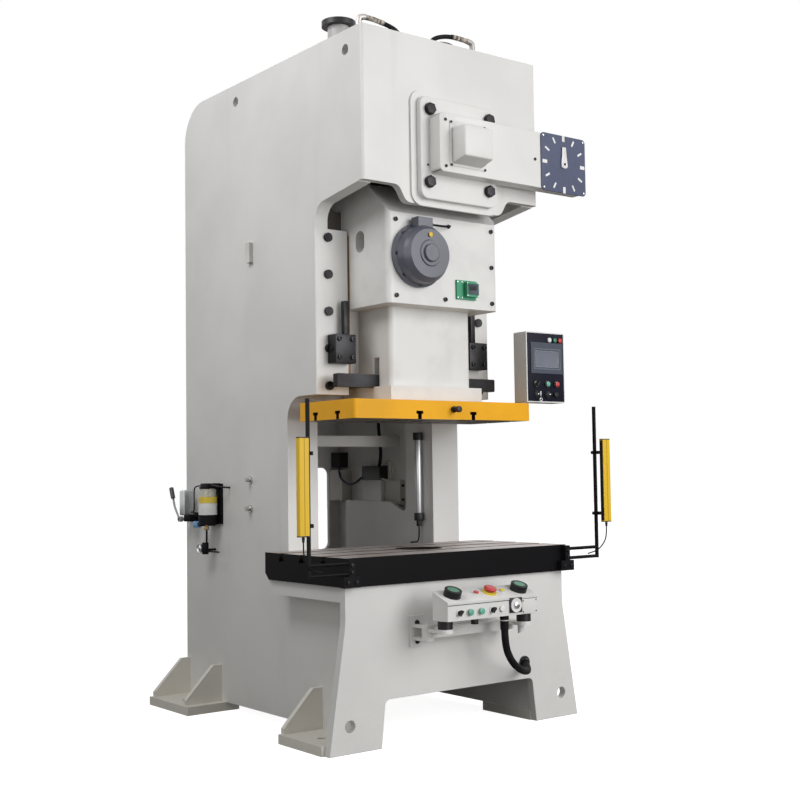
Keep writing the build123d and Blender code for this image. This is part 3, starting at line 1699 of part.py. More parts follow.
lug_thickness = 14.0
pendant_arm_depth = lower_throat_depth + 60.0
pendant_pivot_depth = pendant_front + 50.0
pendant_socket = 65.0

with BuildPart() as control_brackets:
    block(
        (arm_pivot_x - 43.0, arm_pivot_x + 57.0),
        (apron_front - 12.0, apron_front),
        (arm_bottom - 43.0, arm_top + 50.0),
    )
    for lug_bottom in (arm_bottom - part_gap - lug_thickness, arm_top + part_gap):
        block(
            (arm_pivot_x - 28.0, arm_pivot_x + 28.0),
            (arm_pivot_depth, apron_front - 12.0),
            (lug_bottom, lug_bottom + lug_thickness),
        )
        upright(arm_pivot_x, arm_pivot_depth, (lug_bottom, lug_bottom + lug_thickness), 28.0)
    upright(
        arm_pivot_x,
        arm_pivot_depth,
        (arm_bottom - part_gap - lug_thickness - 4.0, arm_top + part_gap + lug_thickness + 4.0),
        arm_pin_radius,
    )
    block(
        (frame_half_width, frame_half_width + 8.0),
        (pendant_arm_depth - 45.0, pendant_arm_depth + 45.0),
        (pendant_tube_height - 50.0, pendant_tube_height + 50.0),
    )
    block(
        (frame_half_width + 8.0, pendant_tube_x + 22.0),
        (pendant_arm_depth - 20.0, pendant_arm_depth + 20.0),
        (pendant_tube_height - 22.0, pendant_tube_height + 22.0),
    )
    with BuildLine():
        FilletPolyline(
            (pendant_tube_x, back(pendant_arm_depth + 20.0), pendant_tube_height),
            (pendant_tube_x, back(pendant_pivot_depth), pendant_tube_height),
            (pendant_tube_x, back(pendant_pivot_depth), pendant_bottom + pendant_socket),
            radius=32.0,
        )
    with BuildSketch(facing_front(pendant_arm_depth + 20.0)):
        with Locations((pendant_tube_x, pendant_tube_height)):
            Circle(pendant_tube_radius)
    sweep()
save(control_brackets.part, "control_brackets")

# The pendant box, which swivels on the top of its tube

lamp_height = pendant_bottom + 315.0
bezel_left = pendant_left + 27.0
bezel_bottom = pendant_bottom + 145.0
bezel_width = 217.0
bezel_height = 155.0
switch_row = pendant_bottom + 93.0
lower_row = pendant_bottom + 40.0
pendant_switch_x = pendant_left + 60.0
pendant_start_x = pendant_left + 136.0
pendant_stop_x = pendant_left + 200.0
pendant_stem = 9.0
pendant_collar = 5.0

with BuildPart() as pendant_box:
    block(
        (pendant_left, pendant_left + pendant_width),
        (pendant_front, pendant_front + pendant_thickness),
        (pendant_bottom, pendant_bottom + pendant_height),
    )
    fillet(pendant_box.edges().filter_by(Axis.Y), radius=6.0)
    block(
        (bezel_left, bezel_left + bezel_width),
        (pendant_front - 6.0, pendant_front),
        (bezel_bottom, bezel_bottom + bezel_height),
    )
    block(
        (bezel_left + 30.0, bezel_left + bezel_width - 28.0),
        (pendant_front - 6.0, pendant_front - 4.0),
        (bezel_bottom + 33.0, bezel_bottom + bezel_height - 42.0),
        mode=Mode.SUBTRACT,
    )
    upright(
        pendant_tube_x,
        pendant_pivot_depth,
        (pendant_bottom - pendant_collar, pendant_bottom),
        pendant_tube_radius + 5.0,
    )
    upright(
        pendant_tube_x,
        pendant_pivot_depth,
        (pendant_bottom - pendant_collar, pendant_bottom + pendant_socket + part_gap),
        pendant_tube_radius + fit_gap,
        mode=Mode.SUBTRACT,
    )
    for x in (pendant_left + 154.0, pendant_left + 191.0, pendant_left + 227.0):
        round_bar(x, lamp_height, (pendant_front - 10.0, pendant_front), 11.0)
    for x in (pendant_switch_x, pendant_start_x, pendant_stop_x):
        round_bar(x, switch_row, (pendant_front - 4.0, pendant_front), 15.0)
        round_bar(
            x,
            switch_row,
            (pendant_front - 4.0, pendant_front + 16.0),
            pendant_stem + part_gap,
            mode=Mode.SUBTRACT,
        )
    for x in (pendant_left + 63.0, pendant_left + 138.0, pendant_left + 194.0):
        round_bar(x, lower_row, (pendant_front - 8.0, pendant_front), 13.0)
save(pendant_box.part, "pendant_box")
save(selector_switch(pendant_switch_x, switch_row, pendant_front, pendant_stem), "pendant_selector")
save(push_button(pendant_start_x, switch_row, pendant_front, pendant_stem), "pendant_start_button")
save(push_button(pendant_stop_x, switch_row, pendant_front, pendant_stem), "pendant_stop_button")

# The console's hose, from the gland under its box to the angled fitting on the apron

hose_radius = 16.5
hose_route = [
    (80, -200, 525),
    (80, -200, 452),
    (108, -184, 378),
    (168, -160, 318),
    (245, -130, 277),
    (312, -98, 262),
    (358, -48, 272),
    (376, -14, 283),
]


def route_radii(points):
    """The largest arc that each corner of a route leaves room for."""
    radii = []
    for before, here, after in zip(points, points[1:], points[2:]):
        run_in = Vector(*here) - Vector(*before)
        run_out = Vector(*after) - Vector(*here)
        turn = radians(run_in.get_angle(run_out))
        radii.append(0.45 * min(run_in.length, run_out.length) / tan(turn / 2))
    return radii


hose_points = [(x, back(depth), z) for x, depth, z in hose_route]
hose_radii = route_radii(hose_points)
print("hose radii", [round(radius) for radius in hose_radii])

with BuildPart() as console_hose:
    with BuildLine() as hose_line:
        FilletPolyline(*hose_points, radius=hose_radii)
    with BuildSketch(Plane(hose_points[0], z_dir=Vector(*hose_points[1]) - Vector(*hose_points[0]))):
        Circle(hose_radius)
    sweep()
hose_length = hose_line.wires()[0].length
print("hose length", hose_length, console_hose.part.volume / (pi * hose_radius**2))
save(console_hose.part, "console_hose")
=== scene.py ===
# %% [markdown]
# A C-frame stamping press is a tall welded frame of thick plates. In the frame's head a crankshaft
# turns, and it drives a heavy slide up and down over a slotted bed plate. The solids come from the
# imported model, so this lesson only dresses them: it gives each surface its finish, adds the screws,
# marks, lamps and hoses, and puts finer pieces in the place of a few plain solids. Loading the model
# first fixes every place that follows.

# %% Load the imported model
from math import atan2, cos, radians, sin

import bmesh
import bpy
from mathutils import Matrix, Vector


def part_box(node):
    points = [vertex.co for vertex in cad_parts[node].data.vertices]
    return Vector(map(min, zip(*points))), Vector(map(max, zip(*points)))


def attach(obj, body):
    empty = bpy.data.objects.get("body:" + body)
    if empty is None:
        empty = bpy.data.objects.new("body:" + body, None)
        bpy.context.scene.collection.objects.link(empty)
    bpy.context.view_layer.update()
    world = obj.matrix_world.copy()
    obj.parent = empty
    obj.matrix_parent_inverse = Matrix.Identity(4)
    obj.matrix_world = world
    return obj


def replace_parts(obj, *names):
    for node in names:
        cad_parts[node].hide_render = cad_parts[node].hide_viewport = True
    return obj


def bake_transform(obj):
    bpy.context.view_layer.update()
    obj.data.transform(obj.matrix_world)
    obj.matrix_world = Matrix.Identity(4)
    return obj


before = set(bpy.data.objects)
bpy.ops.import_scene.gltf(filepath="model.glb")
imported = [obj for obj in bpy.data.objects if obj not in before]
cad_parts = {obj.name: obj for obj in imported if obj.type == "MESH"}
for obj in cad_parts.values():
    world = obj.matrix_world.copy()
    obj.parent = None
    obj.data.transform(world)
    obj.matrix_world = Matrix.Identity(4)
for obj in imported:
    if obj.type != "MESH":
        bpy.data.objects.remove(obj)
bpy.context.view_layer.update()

# %% [markdown]
# The solids are drawn in millimetres behind the head's front face, and Blender works in metres from
# the middle of the foundation bolts. One small helper keeps the shop drawing's way of saying where a
# thing is: to the right, behind the head's face, above the floor.

# %% Places as the shop drawing gives them
HEAD_FRONT = -815.0
ORIGIN_DEPTH = -HEAD_FRONT


def at(x, depth, z):
    """A place in metres, from millimetres right, behind the head's face, and up."""
    return Vector((x, HEAD_FRONT + depth, z)) / 1000.0


print("head's front face lies at", at(0, 0, 0))

# %% [markdown]
# The camera stands to the left in front of the press, at chest height, and looks slightly up. A long
# lens keeps the tall head upright. The camera's three directions are built from its yaw, pitch and
# roll, because three angles of a real tripod are easier to correct than an Euler triple.

# %% Camera
CAMERA_PLACE = Vector((-3.7492, -5.2665, 1.2002))
YAW = radians(37.45)
PITCH = radians(3.26)
ROLL = radians(-0.83)
FOCAL_PIXELS = 1258.4
PICTURE_PIXELS = 800.0

forward = Vector((sin(YAW) * cos(PITCH), cos(YAW) * cos(PITCH), sin(PITCH)))
level_right = Vector((cos(YAW), -sin(YAW), 0.0))
level_up = level_right.cross(forward)
right = cos(ROLL) * level_right + sin(ROLL) * level_up
up = cos(ROLL) * level_up - sin(ROLL) * level_right

bpy.ops.object.camera_add()
camera = bpy.context.object
camera.name = "camera"
camera.data.sensor_width = 36.0
camera.data.lens = camera.data.sensor_width * FOCAL_PIXELS / PICTURE_PIXELS
turned = Matrix((right, up, -forward)).transposed().to_4x4()
camera.matrix_world = Matrix.Translation(CAMERA_PLACE) @ turned
bpy.context.scene.camera = camera
bpy.context.scene.view_settings.view_transform = "Standard"
print("lens", round(camera.data.lens, 2), "mm")

# %% [markdown]
# Every new piece is modelled the way it is done by hand: a primitive is added, its faces are picked by
# their place or direction, and they are extruded, inset or bevelled. The picking is done in code, so
# these helpers stand for the mouse. The place of a piece always ends up in its mesh, as it does in
# the solids.


# %% Hands for modelling
def clear_selection():
    """Leaves edit mode and deselects everything; the loaded solids come selected."""
    if bpy.context.mode != "OBJECT":
        bpy.ops.object.mode_set(mode="OBJECT")
    bpy.ops.object.select_all(action="DESELECT")


def take(piece):
    """Makes one piece the only selected and active one."""
    clear_selection()
    piece.select_set(True)
    bpy.context.view_layer.objects.active = piece


def begin(adder, **settings):
    """Adds a primitive and moves its place, turn and scale into its mesh."""
    clear_selection()
    adder(**settings)
    bpy.ops.object.transform_apply(location=True, rotation=True, scale=True)
    return bpy.context.object


def block(low, high):
    """A block between two opposite corners."""
    settings = dict(size=1.0, location=(low + high) / 2, scale=high - low)
    return begin(bpy.ops.mesh.primitive_cube_add, **settings)


def slab(x_range, depth_range, z_range, soft=0.0):
    """A block between two places of the shop drawing, with its edges rounded if soft is given."""
    piece = block(*(at(*corner) for corner in zip(x_range, depth_range, z_range)))
    return soften(piece, soft) if soft else piece


def disc(radius, low, high, corners=32, soft=0.0):
    """A round bar on the origin's upright axis, in millimetres."""
    middle = (0.0, 0.0, (low + high) / 2000)
    settings = dict(vertices=corners, radius=radius / 1000, depth=(high - low) / 1000, location=middle)
    piece = begin(bpy.ops.mesh.primitive_cylinder_add, **settings)
    return soften(piece, soft) if soft else piece


def pick(piece, wanted, kind="FACE"):
    """In edit mode, selects the faces or edges whose middle and normal pass a test."""
    take(piece)
    bpy.ops.object.mode_set(mode="EDIT")
    bpy.ops.mesh.select_mode(type=kind)
    bpy.ops.mesh.select_all(action="DESELECT")
    mesh = bmesh.from_edit_mesh(piece.data)
    if kind == "FACE":
        for face in mesh.faces:
            face.select_set(bool(wanted(face.calc_center_median(), face.normal)))
    else:
        for edge in mesh.edges:
            first, second = (vertex.co for vertex in edge.verts)
            edge.select_set(bool(wanted((first + second) / 2, second - first)))
    bmesh.update_edit_mesh(piece.data)


TOP, FRONT, LEFT = Vector((0, 0, 1)), Vector((0, -1, 0)), Vector((-1, 0, 0))


def pick_end(piece, toward):
    """Selects the faces that look one way."""
    pick(piece, lambda middle, normal: normal.dot(toward) > 0.9)


def step_end(piece, toward, *steps):
    """Insets the faces that look one way and pushes them out, step by step, in millimetres."""
    pick_end(piece, toward)
    for inset, push in steps:
        bpy.ops.mesh.inset(thickness=inset / 1000)
        bpy.ops.transform.translate(value=tuple(toward * push / 1000))
    clear_selection()
    return piece


def taper_end(piece, toward, shares, centre, lift=0.0):
    """Shrinks or widens the faces that look one way about a point, and lifts them."""
    pick_end(piece, toward)
    bpy.ops.transform.resize(value=shares, center_override=tuple(centre))
    bpy.ops.transform.translate(value=(0.0, 0.0, lift / 1000))
    clear_selection()
    return piece


def round_edges(piece, letter, radius, segments, wanted=lambda middle: True):
    """Bevels the edges that run along one axis, or those of them whose middle passes a test."""
    index = "XYZ".index(letter)
    pick(piece, lambda middle, way: abs(way[index]) > 0.9 * way.length and wanted(middle), kind="EDGE")
    bpy.ops.mesh.bevel(offset=radius / 1000, segments=segments, affect="EDGES")
    clear_selection()
    return piece


def apply_modifiers(piece, smooth=35):
    """Applies what modifiers the piece has and shades it smooth between soft edges."""
    take(piece)
    for modifier in list(piece.modifiers):
        bpy.ops.object.modifier_apply(modifier=modifier.name)
    bpy.ops.object.shade_smooth_by_angle(angle=radians(smooth))
    return piece


def soften(piece, width, segments=2, angle=35):
    """Rounds the sharp edges, as a file or a mould does."""
    modifier = piece.modifiers.new("soft_edges", "BEVEL")
    modifier.width = width / 1000
    modifier.segments = segments
    modifier.limit_method = "ANGLE"
    modifier.angle_limit = radians(angle)
    return apply_modifiers(piece)


def sunk(piece, cutter):
    """Cuts one piece with another, which is used up."""
    modifier = piece.modifiers.new("sunk", "BOOLEAN")
    modifier.operation = "DIFFERENCE"
    modifier.solver = "EXACT"
    modifier.object = cutter
    apply_modifiers(piece)
    bpy.data.objects.remove(cutter)
    return piece


def joined(*pieces):
    """Makes several pieces one."""
    clear_selection()
    for piece in pieces:
        piece.select_set(True)
    bpy.context.view_layer.objects.active = pieces[0]
    if len(pieces) > 1:
        bpy.ops.object.join()
    return pieces[0]


def repeated(model, placings):
    """Copies a modelled piece to its places; each copy has its own mesh before they are joined."""
    copies = []
    for placing in placings:
        copy = model.copy()
        copy.data = model.data.copy()
        copy.data.transform(placing)
        bpy.context.collection.objects.link(copy)
        copies.append(copy)
    bpy.data.objects.remove(model)
    return joined(*copies)


print("hands are ready")

# %% [markdown]
# A model is made upright on the origin. A placing then turns it to where it has to point and moves it
# to its place on the shop drawing. Screws and lamps mostly stand in rows or in the four corners of
# something flat, so two small helpers write such rows down.


# %% Placings
def turned_about(letter, degrees):
    """Makes a function that places an upright model after it is turned about an axis."""
    tilt = Matrix.Rotation(radians(degrees), 4, letter)

    def place(x, depth, z, turn=0.0):
        return Matrix.Translation(at(x, depth, z)) @ tilt @ Matrix.Rotation(radians(turn), 4, "Z")

    return place


upward = turned_about("Z", 0)
to_front = turned_about("X", 90)
to_left = turned_about("Y", -90)
to_right = turned_about("Y", 90)
SIDES = (-1, 1)


def grid(x_values, z_values):
    """Every pair of the given places across and up."""
    return [(x, z) for x in x_values for z in z_values]


def on_face(places, depth, turn=0, further=0):
    """Placings that point to the front at one depth, each turned further than the one before."""
    return [to_front(x, depth, z, turn + further * index) for index, (x, z) in enumerate(places)]


def slid(x, z=0.0):
    """A move without a turn, in millimetres."""
    return Matrix.Translation((x / 1000, 0.0, z / 1000))


print("placings are ready")

# %% [markdown]
# A hose or cable is a length of something that bends. Its line is a NURBS curve that is pulled
# towards a few given points, so it has no corners. The tube is the same curve with a round bevel,
# made a mesh. The hose of the console is the only one that hangs free: it leaves a gland under the
# console and goes into a fitting on the apron, and its line is measured here.


# %% Smooth lines and tubes
def smooth_line(points):
    """A NURBS curve without thickness, from points given as the shop drawing gives them."""
    line = bpy.data.curves.new("line", "CURVE")
    line.dimensions = "3D"
    line.resolution_u = 12
    spline = line.splines.new("NURBS")
    spline.points.add(len(points) - 1)
    for point, place in zip(spline.points, points):
        point.co = (*at(*place), 1.0)
    spline.order_u = 3
    spline.use_endpoint_u = True
    curve = bpy.data.objects.new("line", line)
    bpy.context.collection.objects.link(curve)
    return curve


def tube(points, radius, sides=6):
    """A round tube along the smooth line through some points, as a mesh."""
    curve = smooth_line(points)
    curve.data.bevel_depth = radius / 1000
    curve.data.bevel_resolution = sides
    curve.data.use_fill_caps = True
    take(curve)
    bpy.ops.object.convert(target="MESH")
    return apply_modifiers(bpy.context.object, smooth=50)


HOSE_ROUTE = (
    (80, -200, 525),
    (80, -200, 452),
    (108, -184, 378),
    (168, -160, 318),
    (245, -130, 277),
    (312, -98, 262),
    (358, -48, 272),
    (376, -14, 283),
)
HOSE_RADIUS = 16.5
hose_line = smooth_line(HOSE_ROUTE)
bpy.context.view_layer.update()
line_mesh = bpy.data.meshes.new_from_object(hose_line)
hose_path = [vertex.co.copy() for vertex in line_mesh.vertices]
bpy.data.meshes.remove(line_mesh)
bpy.data.objects.remove(hose_line)
hose_length = sum((b - a).length for a, b in zip(hose_path, hose_path[1:]))
print("hose runs for", round(hose_length, 3), "m")

# %% [markdown]
# A finish is a small network of nodes. Written as node calls it is long and hard to read, so a
# little class wraps a socket and lets Python's own signs add the Math nodes. A second class holds
# one material, and its node() is the only place where any other node is made.


# %% Sockets that can be added and multiplied
class Signal:
    """One value in a material; arithmetic on it adds Math nodes."""

    def __init__(self, finish, socket):
        self.finish = finish
        self.socket = socket

    def maths(self, operation, *values):
        return self.finish.node("Math", {"operation": operation}, dict(enumerate(values)))

    def __add__(self, other):
        return self.maths("ADD", self, other)

    def __radd__(self, other):
        return self.maths("ADD", other, self)

    def __sub__(self, other):
        return self.maths("SUBTRACT", self, other)

    def __rsub__(self, other):
        return self.maths("SUBTRACT", other, self)

    def __mul__(self, other):
        return self.maths("MULTIPLY", self, other)

    def __rmul__(self, other):
        return self.maths("MULTIPLY", other, self)

    def __gt__(self, other):
        return self.maths("GREATER_THAN", self, other)

    def __lt__(self, other):
        return self.maths("LESS_THAN", self, other)

    def either(self, other):
        """The larger of the two: 1 where at least one of them is 1."""
        return self.maths("MAXIMUM", self, other)

    def size(self):
        return self.maths("ABSOLUTE", self)

    def within(self, low, high):
        """1 between two values, 0 elsewhere."""
        return (self > low) * (self < high)

    def between(self, low, high):
        """A smooth ramp from 0 at low to 1 at high."""
        settings = {"interpolation_type": "SMOOTHSTEP"}
        return self.finish.node("MapRange", settings, {0: self, 1: low, 2: high})


class Finish:
    """A material, or the world's light, under construction."""

    def __init__(self, name, library=bpy.data.materials):
        self.owner = library.new(name)
        self.owner.use_nodes = True
        self.tree = self.owner.node_tree
        self.tree.nodes.clear()

    def node(self, kind, settings=(), inputs=(), output=0):
        """Adds a node, sets it up, fills its sockets and returns one of its outputs."""
        node = self.tree.nodes.new("ShaderNode" + kind)
        for key, value in dict(settings).items():
            setattr(node, key, value)
        for key, value in dict(inputs).items():
            if isinstance(value, Signal):
                self.tree.links.new(value.socket, node.inputs[key])
            else:
                node.inputs[key].default_value = value
        return Signal(self, node.outputs[output])

    def blend_colours(self, share, first, second):
        """Goes from the first colour to the second as share goes from 0 to 1."""
        inputs = {0: share, 6: first, 7: second}
        return self.node("Mix", {"data_type": "RGBA"}, inputs, output=2)

    def place(self):
        """The point of the surface in the piece's own metres."""
        return self.node("TexCoord", output="Object")

    def noise(self, scale, detail=3.0, stretch=(1.0, 1.0, 1.0)):
        """Soft random spots; scale is how many fit in a metre."""
        place = self.node("Mapping", {}, {0: self.place(), 3: stretch})
        return self.node("TexNoise", {}, {"Vector": place, "Scale": scale, "Detail": detail})

    def axis(self, vector, letter):
        """One of the three numbers of a vector."""
        return self.node("SeparateXYZ", {}, {0: vector}, output=letter)

    def bump(self, height, strength, distance):
        inputs = {"Height": height, "Strength": strength, "Distance": distance}
        return self.node("Bump", {}, inputs, output="Normal")

    def end_in(self, shader, kind="OutputMaterial"):
        last = self.tree.nodes.new("ShaderNode" + kind)
        self.tree.links.new(shader.socket, last.inputs["Surface"])

    def done(self, **sockets):
        """Ends the material in a Principled shader; underscores stand for spaces."""
        inputs = {key.replace("_", " "): value for key, value in sockets.items()}
        self.end_in(self.node("BsdfPrincipled", {}, inputs))
        return self.owner


def rgb(red, green, blue):
    """A colour with full alpha, as the sockets want it."""
    return (red, green, blue, 1.0)


print("helpers for finishes are ready")

# %% [markdown]
# Machine enamel is sprayed on welded plate. It is nearly even, but close up it has a fine orange
# peel, a few clouds where the coat is thicker, dust that gathers near the floor, and thin rubbed
# streaks. All of that is noise at different sizes; none of it follows the camera.


# %% Sprayed enamel
def enamel(name, colour, roughness=0.34, dust=0.06, shade=0.92, shine=0.5):
    """Sprayed paint on plate: clouds, orange peel, rubbed streaks and dust near the floor."""
    finish = Finish(name)
    clouds = finish.noise(2.2, detail=4.0)
    fine = finish.noise(38.0, detail=2.0)
    peel = finish.noise(420.0, detail=1.0)
    streaks = finish.noise(9.0, detail=5.0, stretch=(1.0, 1.0, 0.06))
    height = finish.axis(finish.place(), "Z")
    darker = rgb(*(channel * shade for channel in colour))
    soiled = rgb(colour[0] * 0.62, colour[1] * 0.60, colour[2] * 0.54)
    base = finish.blend_colours(clouds.between(0.35, 0.70), rgb(*colour), darker)
    grime = (1.0 - height.between(0.0, 0.45)) * fine.between(0.30, 0.80) * dust
    rubbed = streaks.between(0.60, 0.74) * 0.10
    base = finish.blend_colours(grime + rubbed, base, soiled)
    gloss = roughness + clouds * 0.10 + rubbed * 0.8
    normal = finish.bump(peel * 0.6 + fine * 0.4, 0.10, 0.0006)
    return finish.done(Base_Color=base, Roughness=gloss, Normal=normal, Specular_IOR_Level=shine)


CREAM = (0.725, 0.719, 0.704)
cream_enamel = enamel("cream_enamel", CREAM)
# The feet wear the same cream paint; this warmer, slightly darker copy is painted shade from the dim, warm
# light near the floor.
feet_shaded_enamel = enamel("foot_cream_with_painted_warm_shade", (0.725, 0.700, 0.635), roughness=0.42)
black_enamel = enamel(
    "black_enamel", (0.006, 0.0055, 0.007), roughness=0.45, dust=0.05, shade=0.75, shine=0.10
)
grey_enamel = enamel("motor_grey_enamel", (0.106, 0.112, 0.140), roughness=0.26, shade=0.85)
panel_enamel = enamel("panel_navy_enamel", (0.008, 0.008, 0.018), roughness=0.42, dust=0.0, shine=0.12)
yellow_enamel = enamel("yellow_enamel", (0.790, 0.500, 0.022), roughness=0.32, dust=0.0, shine=0.3)
# Dark ochre for the painted shade in the light curtains' grooves.
groove_shade_enamel = enamel("groove_shade_ochre", (0.420, 0.230, 0.010), dust=0.0, shine=0.2)
print("enamels:", cream_enamel.name, black_enamel.name, grey_enamel.name, yellow_enamel.name)

# %% [markdown]
# Ground steel is bright but never a mirror: the grinding wheel leaves fine lines along one
# direction, and oil and fingers leave darker clouds. The lines are noise stretched a hundredfold.


# %% Ground, blackened and cast metals
def metal(
    name,
    colour,
    roughness,
    stretch=(1.0, 1.0, 1.0),
    lines=160.0,
    clouding=0.25,
    bump=0.12,
    dark_before=None,
):
    """Ground or cast metal, which is blackened before a depth if one is given."""
    finish = Finish(name)
    grinding = finish.noise(lines, detail=3.0, stretch=stretch)
    clouds = finish.noise(7.0, detail=4.0)
    dark = rgb(*(channel * (1.0 - clouding) for channel in colour))
    base = finish.blend_colours(clouds.between(0.35, 0.70), rgb(*colour), dark)
    if dark_before is not None:
        depth = finish.axis(finish.place(), "Y")
        base = finish.blend_colours(depth < dark_before, base, rgb(0.060, 0.058, 0.060))
    gloss = roughness + grinding * 0.14 + clouds * 0.10
    normal = finish.bump(grinding, bump, 0.0005)
    return finish.done(Base_Color=base, Roughness=gloss, Metallic=1.0, Normal=normal)


ground_steel = metal("ground_steel", (0.58, 0.57, 0.55), 0.22, stretch=(1.0, 12.0, 1.0))
black_steel = metal("blackened_steel", (0.045, 0.044, 0.046), 0.36, clouding=0.35)
cast_iron = metal("cast_iron", (0.16, 0.16, 0.165), 0.50, lines=240.0, bump=0.35)
bronze = metal("turned_bronze", (0.56, 0.36, 0.15), 0.26, stretch=(1.0, 12.0, 1.0))
oiled_bronze = metal("oiled_bronze", (0.20, 0.125, 0.070), 0.45, stretch=(1.0, 1.0, 8.0))
chrome = metal("bright_plating", (0.80, 0.80, 0.81), 0.08, clouding=0.10, bump=0.03)
plated_fittings = metal(
    "plated_fittings", (0.52, 0.51, 0.49), 0.22, clouding=0.10, bump=0.03, dark_before=-0.60
)
galvanised = metal("galvanised", (0.50, 0.48, 0.46), 0.42, lines=90.0, clouding=0.45, bump=0.2)
alloy = metal("drawn_alloy", (0.66, 0.67, 0.69), 0.28, stretch=(1.0, 1.0, 0.05))
print("metals:", [material.name for material in (ground_steel, black_steel, cast_iron, bronze)])

# %% [markdown]
# Moulded plastic and rubber have no metal shine. Plastic is even and a little glossy; rubber is
# dull, and powder from the mould stays in its pores. The oil's bowl is clear with a thin film on it,
# and the tape on the head's hoses is a rough cloth in pale and dark layers.


# %% Plastics, rubber and glass
def plastic(name, colour, roughness=0.35, grain=600.0, bump=0.05, coat=0.0, shine=0.5):
    """Moulded plastic or rubber with fine pores."""
    finish = Finish(name)
    pores = finish.noise(grain, detail=2.0)
    clouds = finish.noise(14.0, detail=3.0)
    dusty = rgb(*(channel * 0.80 + 0.012 for channel in colour))
    base = finish.blend_colours(clouds.between(0.40, 0.75), rgb(*colour), dusty)
    gloss = roughness + pores * 0.12
    normal = finish.bump(pores, bump, 0.0003)
    sockets = dict(Base_Color=base, Roughness=gloss, Normal=normal, Coat_Weight=coat)
    return finish.done(Specular_IOR_Level=shine, **sockets)


BLACK = (0.007, 0.0065, 0.008)
rubber = plastic("black_rubber", BLACK, roughness=0.58, grain=900.0, bump=0.12, shine=0.12)
blue_rubber = plastic("blue_hose_rubber", (0.010, 0.016, 0.060), roughness=0.4)
black_plastic = plastic("black_plastic", (0.014, 0.013, 0.015), roughness=0.34, shine=0.25)
green_plastic = plastic("green_button", (0.012, 0.190, 0.095), roughness=0.25, coat=0.3)
red_plastic = plastic("red_button", (0.560, 0.020, 0.018), roughness=0.25, coat=0.3)
yellow_plastic = plastic("yellow_cap", (0.740, 0.560, 0.050), roughness=0.35)
white_plastic = plastic("white_lacquer", (0.800, 0.800, 0.790), roughness=0.32)
mint_plastic = plastic("mint_cap", (0.120, 0.420, 0.310), roughness=0.25, coat=0.3)
blue_plastic = plastic("blue_cap", (0.150, 0.330, 0.600), roughness=0.30)
slate_plastic = plastic("slate_bezel", (0.056, 0.066, 0.092), roughness=0.42, shine=0.3)
screen_glass = plastic("screen_glass", (0.145, 0.160, 0.200), roughness=0.16, grain=90.0, bump=0.01)
counter_plastic = plastic("counter_green", (0.060, 0.330, 0.180), roughness=0.42, shine=0.3)
dial_plastic = plastic("dial_plate", (0.100, 0.112, 0.180), roughness=0.45, grain=300.0, shine=0.15)

glass = Finish("oil_bowl")
film = glass.noise(60.0, detail=4.0)
haze = 0.05 + film.between(0.5, 0.8) * 0.10
oil_bowl = glass.done(Base_Color=rgb(0.80, 0.78, 0.66), Roughness=haze, Alpha=0.40 + film * 0.06)
wrap = Finish("wrapped_tape")
layers = wrap.noise(60.0, detail=4.0, stretch=(1.0, 0.4, 0.4))
cloth = wrap.blend_colours(layers.between(0.42, 0.60), rgb(0.09, 0.07, 0.055), rgb(0.50, 0.45, 0.38))
tape = wrap.done(Base_Color=cloth, Roughness=0.5 + layers * 0.2, Normal=wrap.bump(layers, 0.5, 0.002))
print("plastics:", [material.name for material in (rubber, black_plastic, green_plastic)])

# %% [markdown]
# The yellow slide plate and the black bolster are painted only on their outer sides: their working
# faces are bare steel, and their slots are bare steel coloured near black as painted shade. One
# material does both, because it can tell a face by its direction and its place.


# %% Painted blocks with bare working faces
FACE_TOLERANCE = 0.002
PAINT_REACH = 0.0075


def half_ground(name, paint_colour, steel_colour, node, works_above, shine):
    """Enamel on the outer sides, ground steel on the working face, near-black painted shade in the slots.
    """
    low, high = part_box(node)
    finish = Finish(name)
    clouds = finish.noise(5.0, detail=4.0)
    peel = finish.noise(420.0, detail=1.0)
    grinding = finish.noise(140.0, detail=2.0, stretch=(0.04, 1.0, 1.0))
    place = finish.place()
    normal = finish.node("NewGeometry", output="Normal")
    height = finish.axis(place, "Z")
    working_height, other_height = (high[2], low[2]) if works_above else (low[2], high[2])
    level = finish.axis(normal, "Z").size() > 0.7
    bare = level * ((height - working_height).size() < FACE_TOLERANCE)
    outer = level * ((height - other_height).size() < FACE_TOLERANCE)
    for letter, near_side, far_side in (("X", low[0], high[0]), ("Y", low[1], high[1])):
        reach = (far_side - near_side) / 2 - PAINT_REACH
        far = (finish.axis(place, letter) - (near_side + far_side) / 2).size() > reach
        outer = outer.either(far * (finish.axis(normal, letter).size() > 0.25))
    darker = rgb(*(channel * 0.88 for channel in paint_colour))
    paint = finish.blend_colours(clouds.between(0.35, 0.7), rgb(*paint_colour), darker)
    rusty = rgb(steel_colour[0] * 0.72, steel_colour[1] * 0.66, steel_colour[2] * 0.60)
    steel = finish.blend_colours(clouds.between(0.35, 0.65), rgb(*steel_colour), rusty)
    # Near black on the slot faces: painted shade inside the slots.
    slot_shade = rgb(0.020, 0.014, 0.010)
    base = finish.blend_colours(bare, finish.blend_colours(outer, slot_shade, paint), steel)
    gloss = 0.34 + clouds * 0.12 + bare * grinding * 0.20
    bumps = finish.bump(peel * 0.4 + grinding * 0.6, 0.10, 0.0006)
    sockets = dict(Base_Color=base, Roughness=gloss, Metallic=bare * 0.85, Normal=bumps)
    return finish.done(Specular_IOR_Level=shine, **sockets)


bolster_finish = half_ground(
    "bolster_black_and_ground", (0.0055, 0.005, 0.006), (0.53, 0.49, 0.485), "bolster", True, 0.08
)
yellow_finish = half_ground(
    "yellow_and_ground", (0.890, 0.430, 0.010), (0.30, 0.28, 0.26), "slide_plate", False, 0.22
)
print("blocks with a bare face:", bolster_finish.name, yellow_finish.name)

# %% [markdown]
# Some solids are one piece in the model but two things to the eye: a lamp's tube and its caps, or a
# swing arm and the rubber under the box. Such a solid takes two colours, split by height or depth.


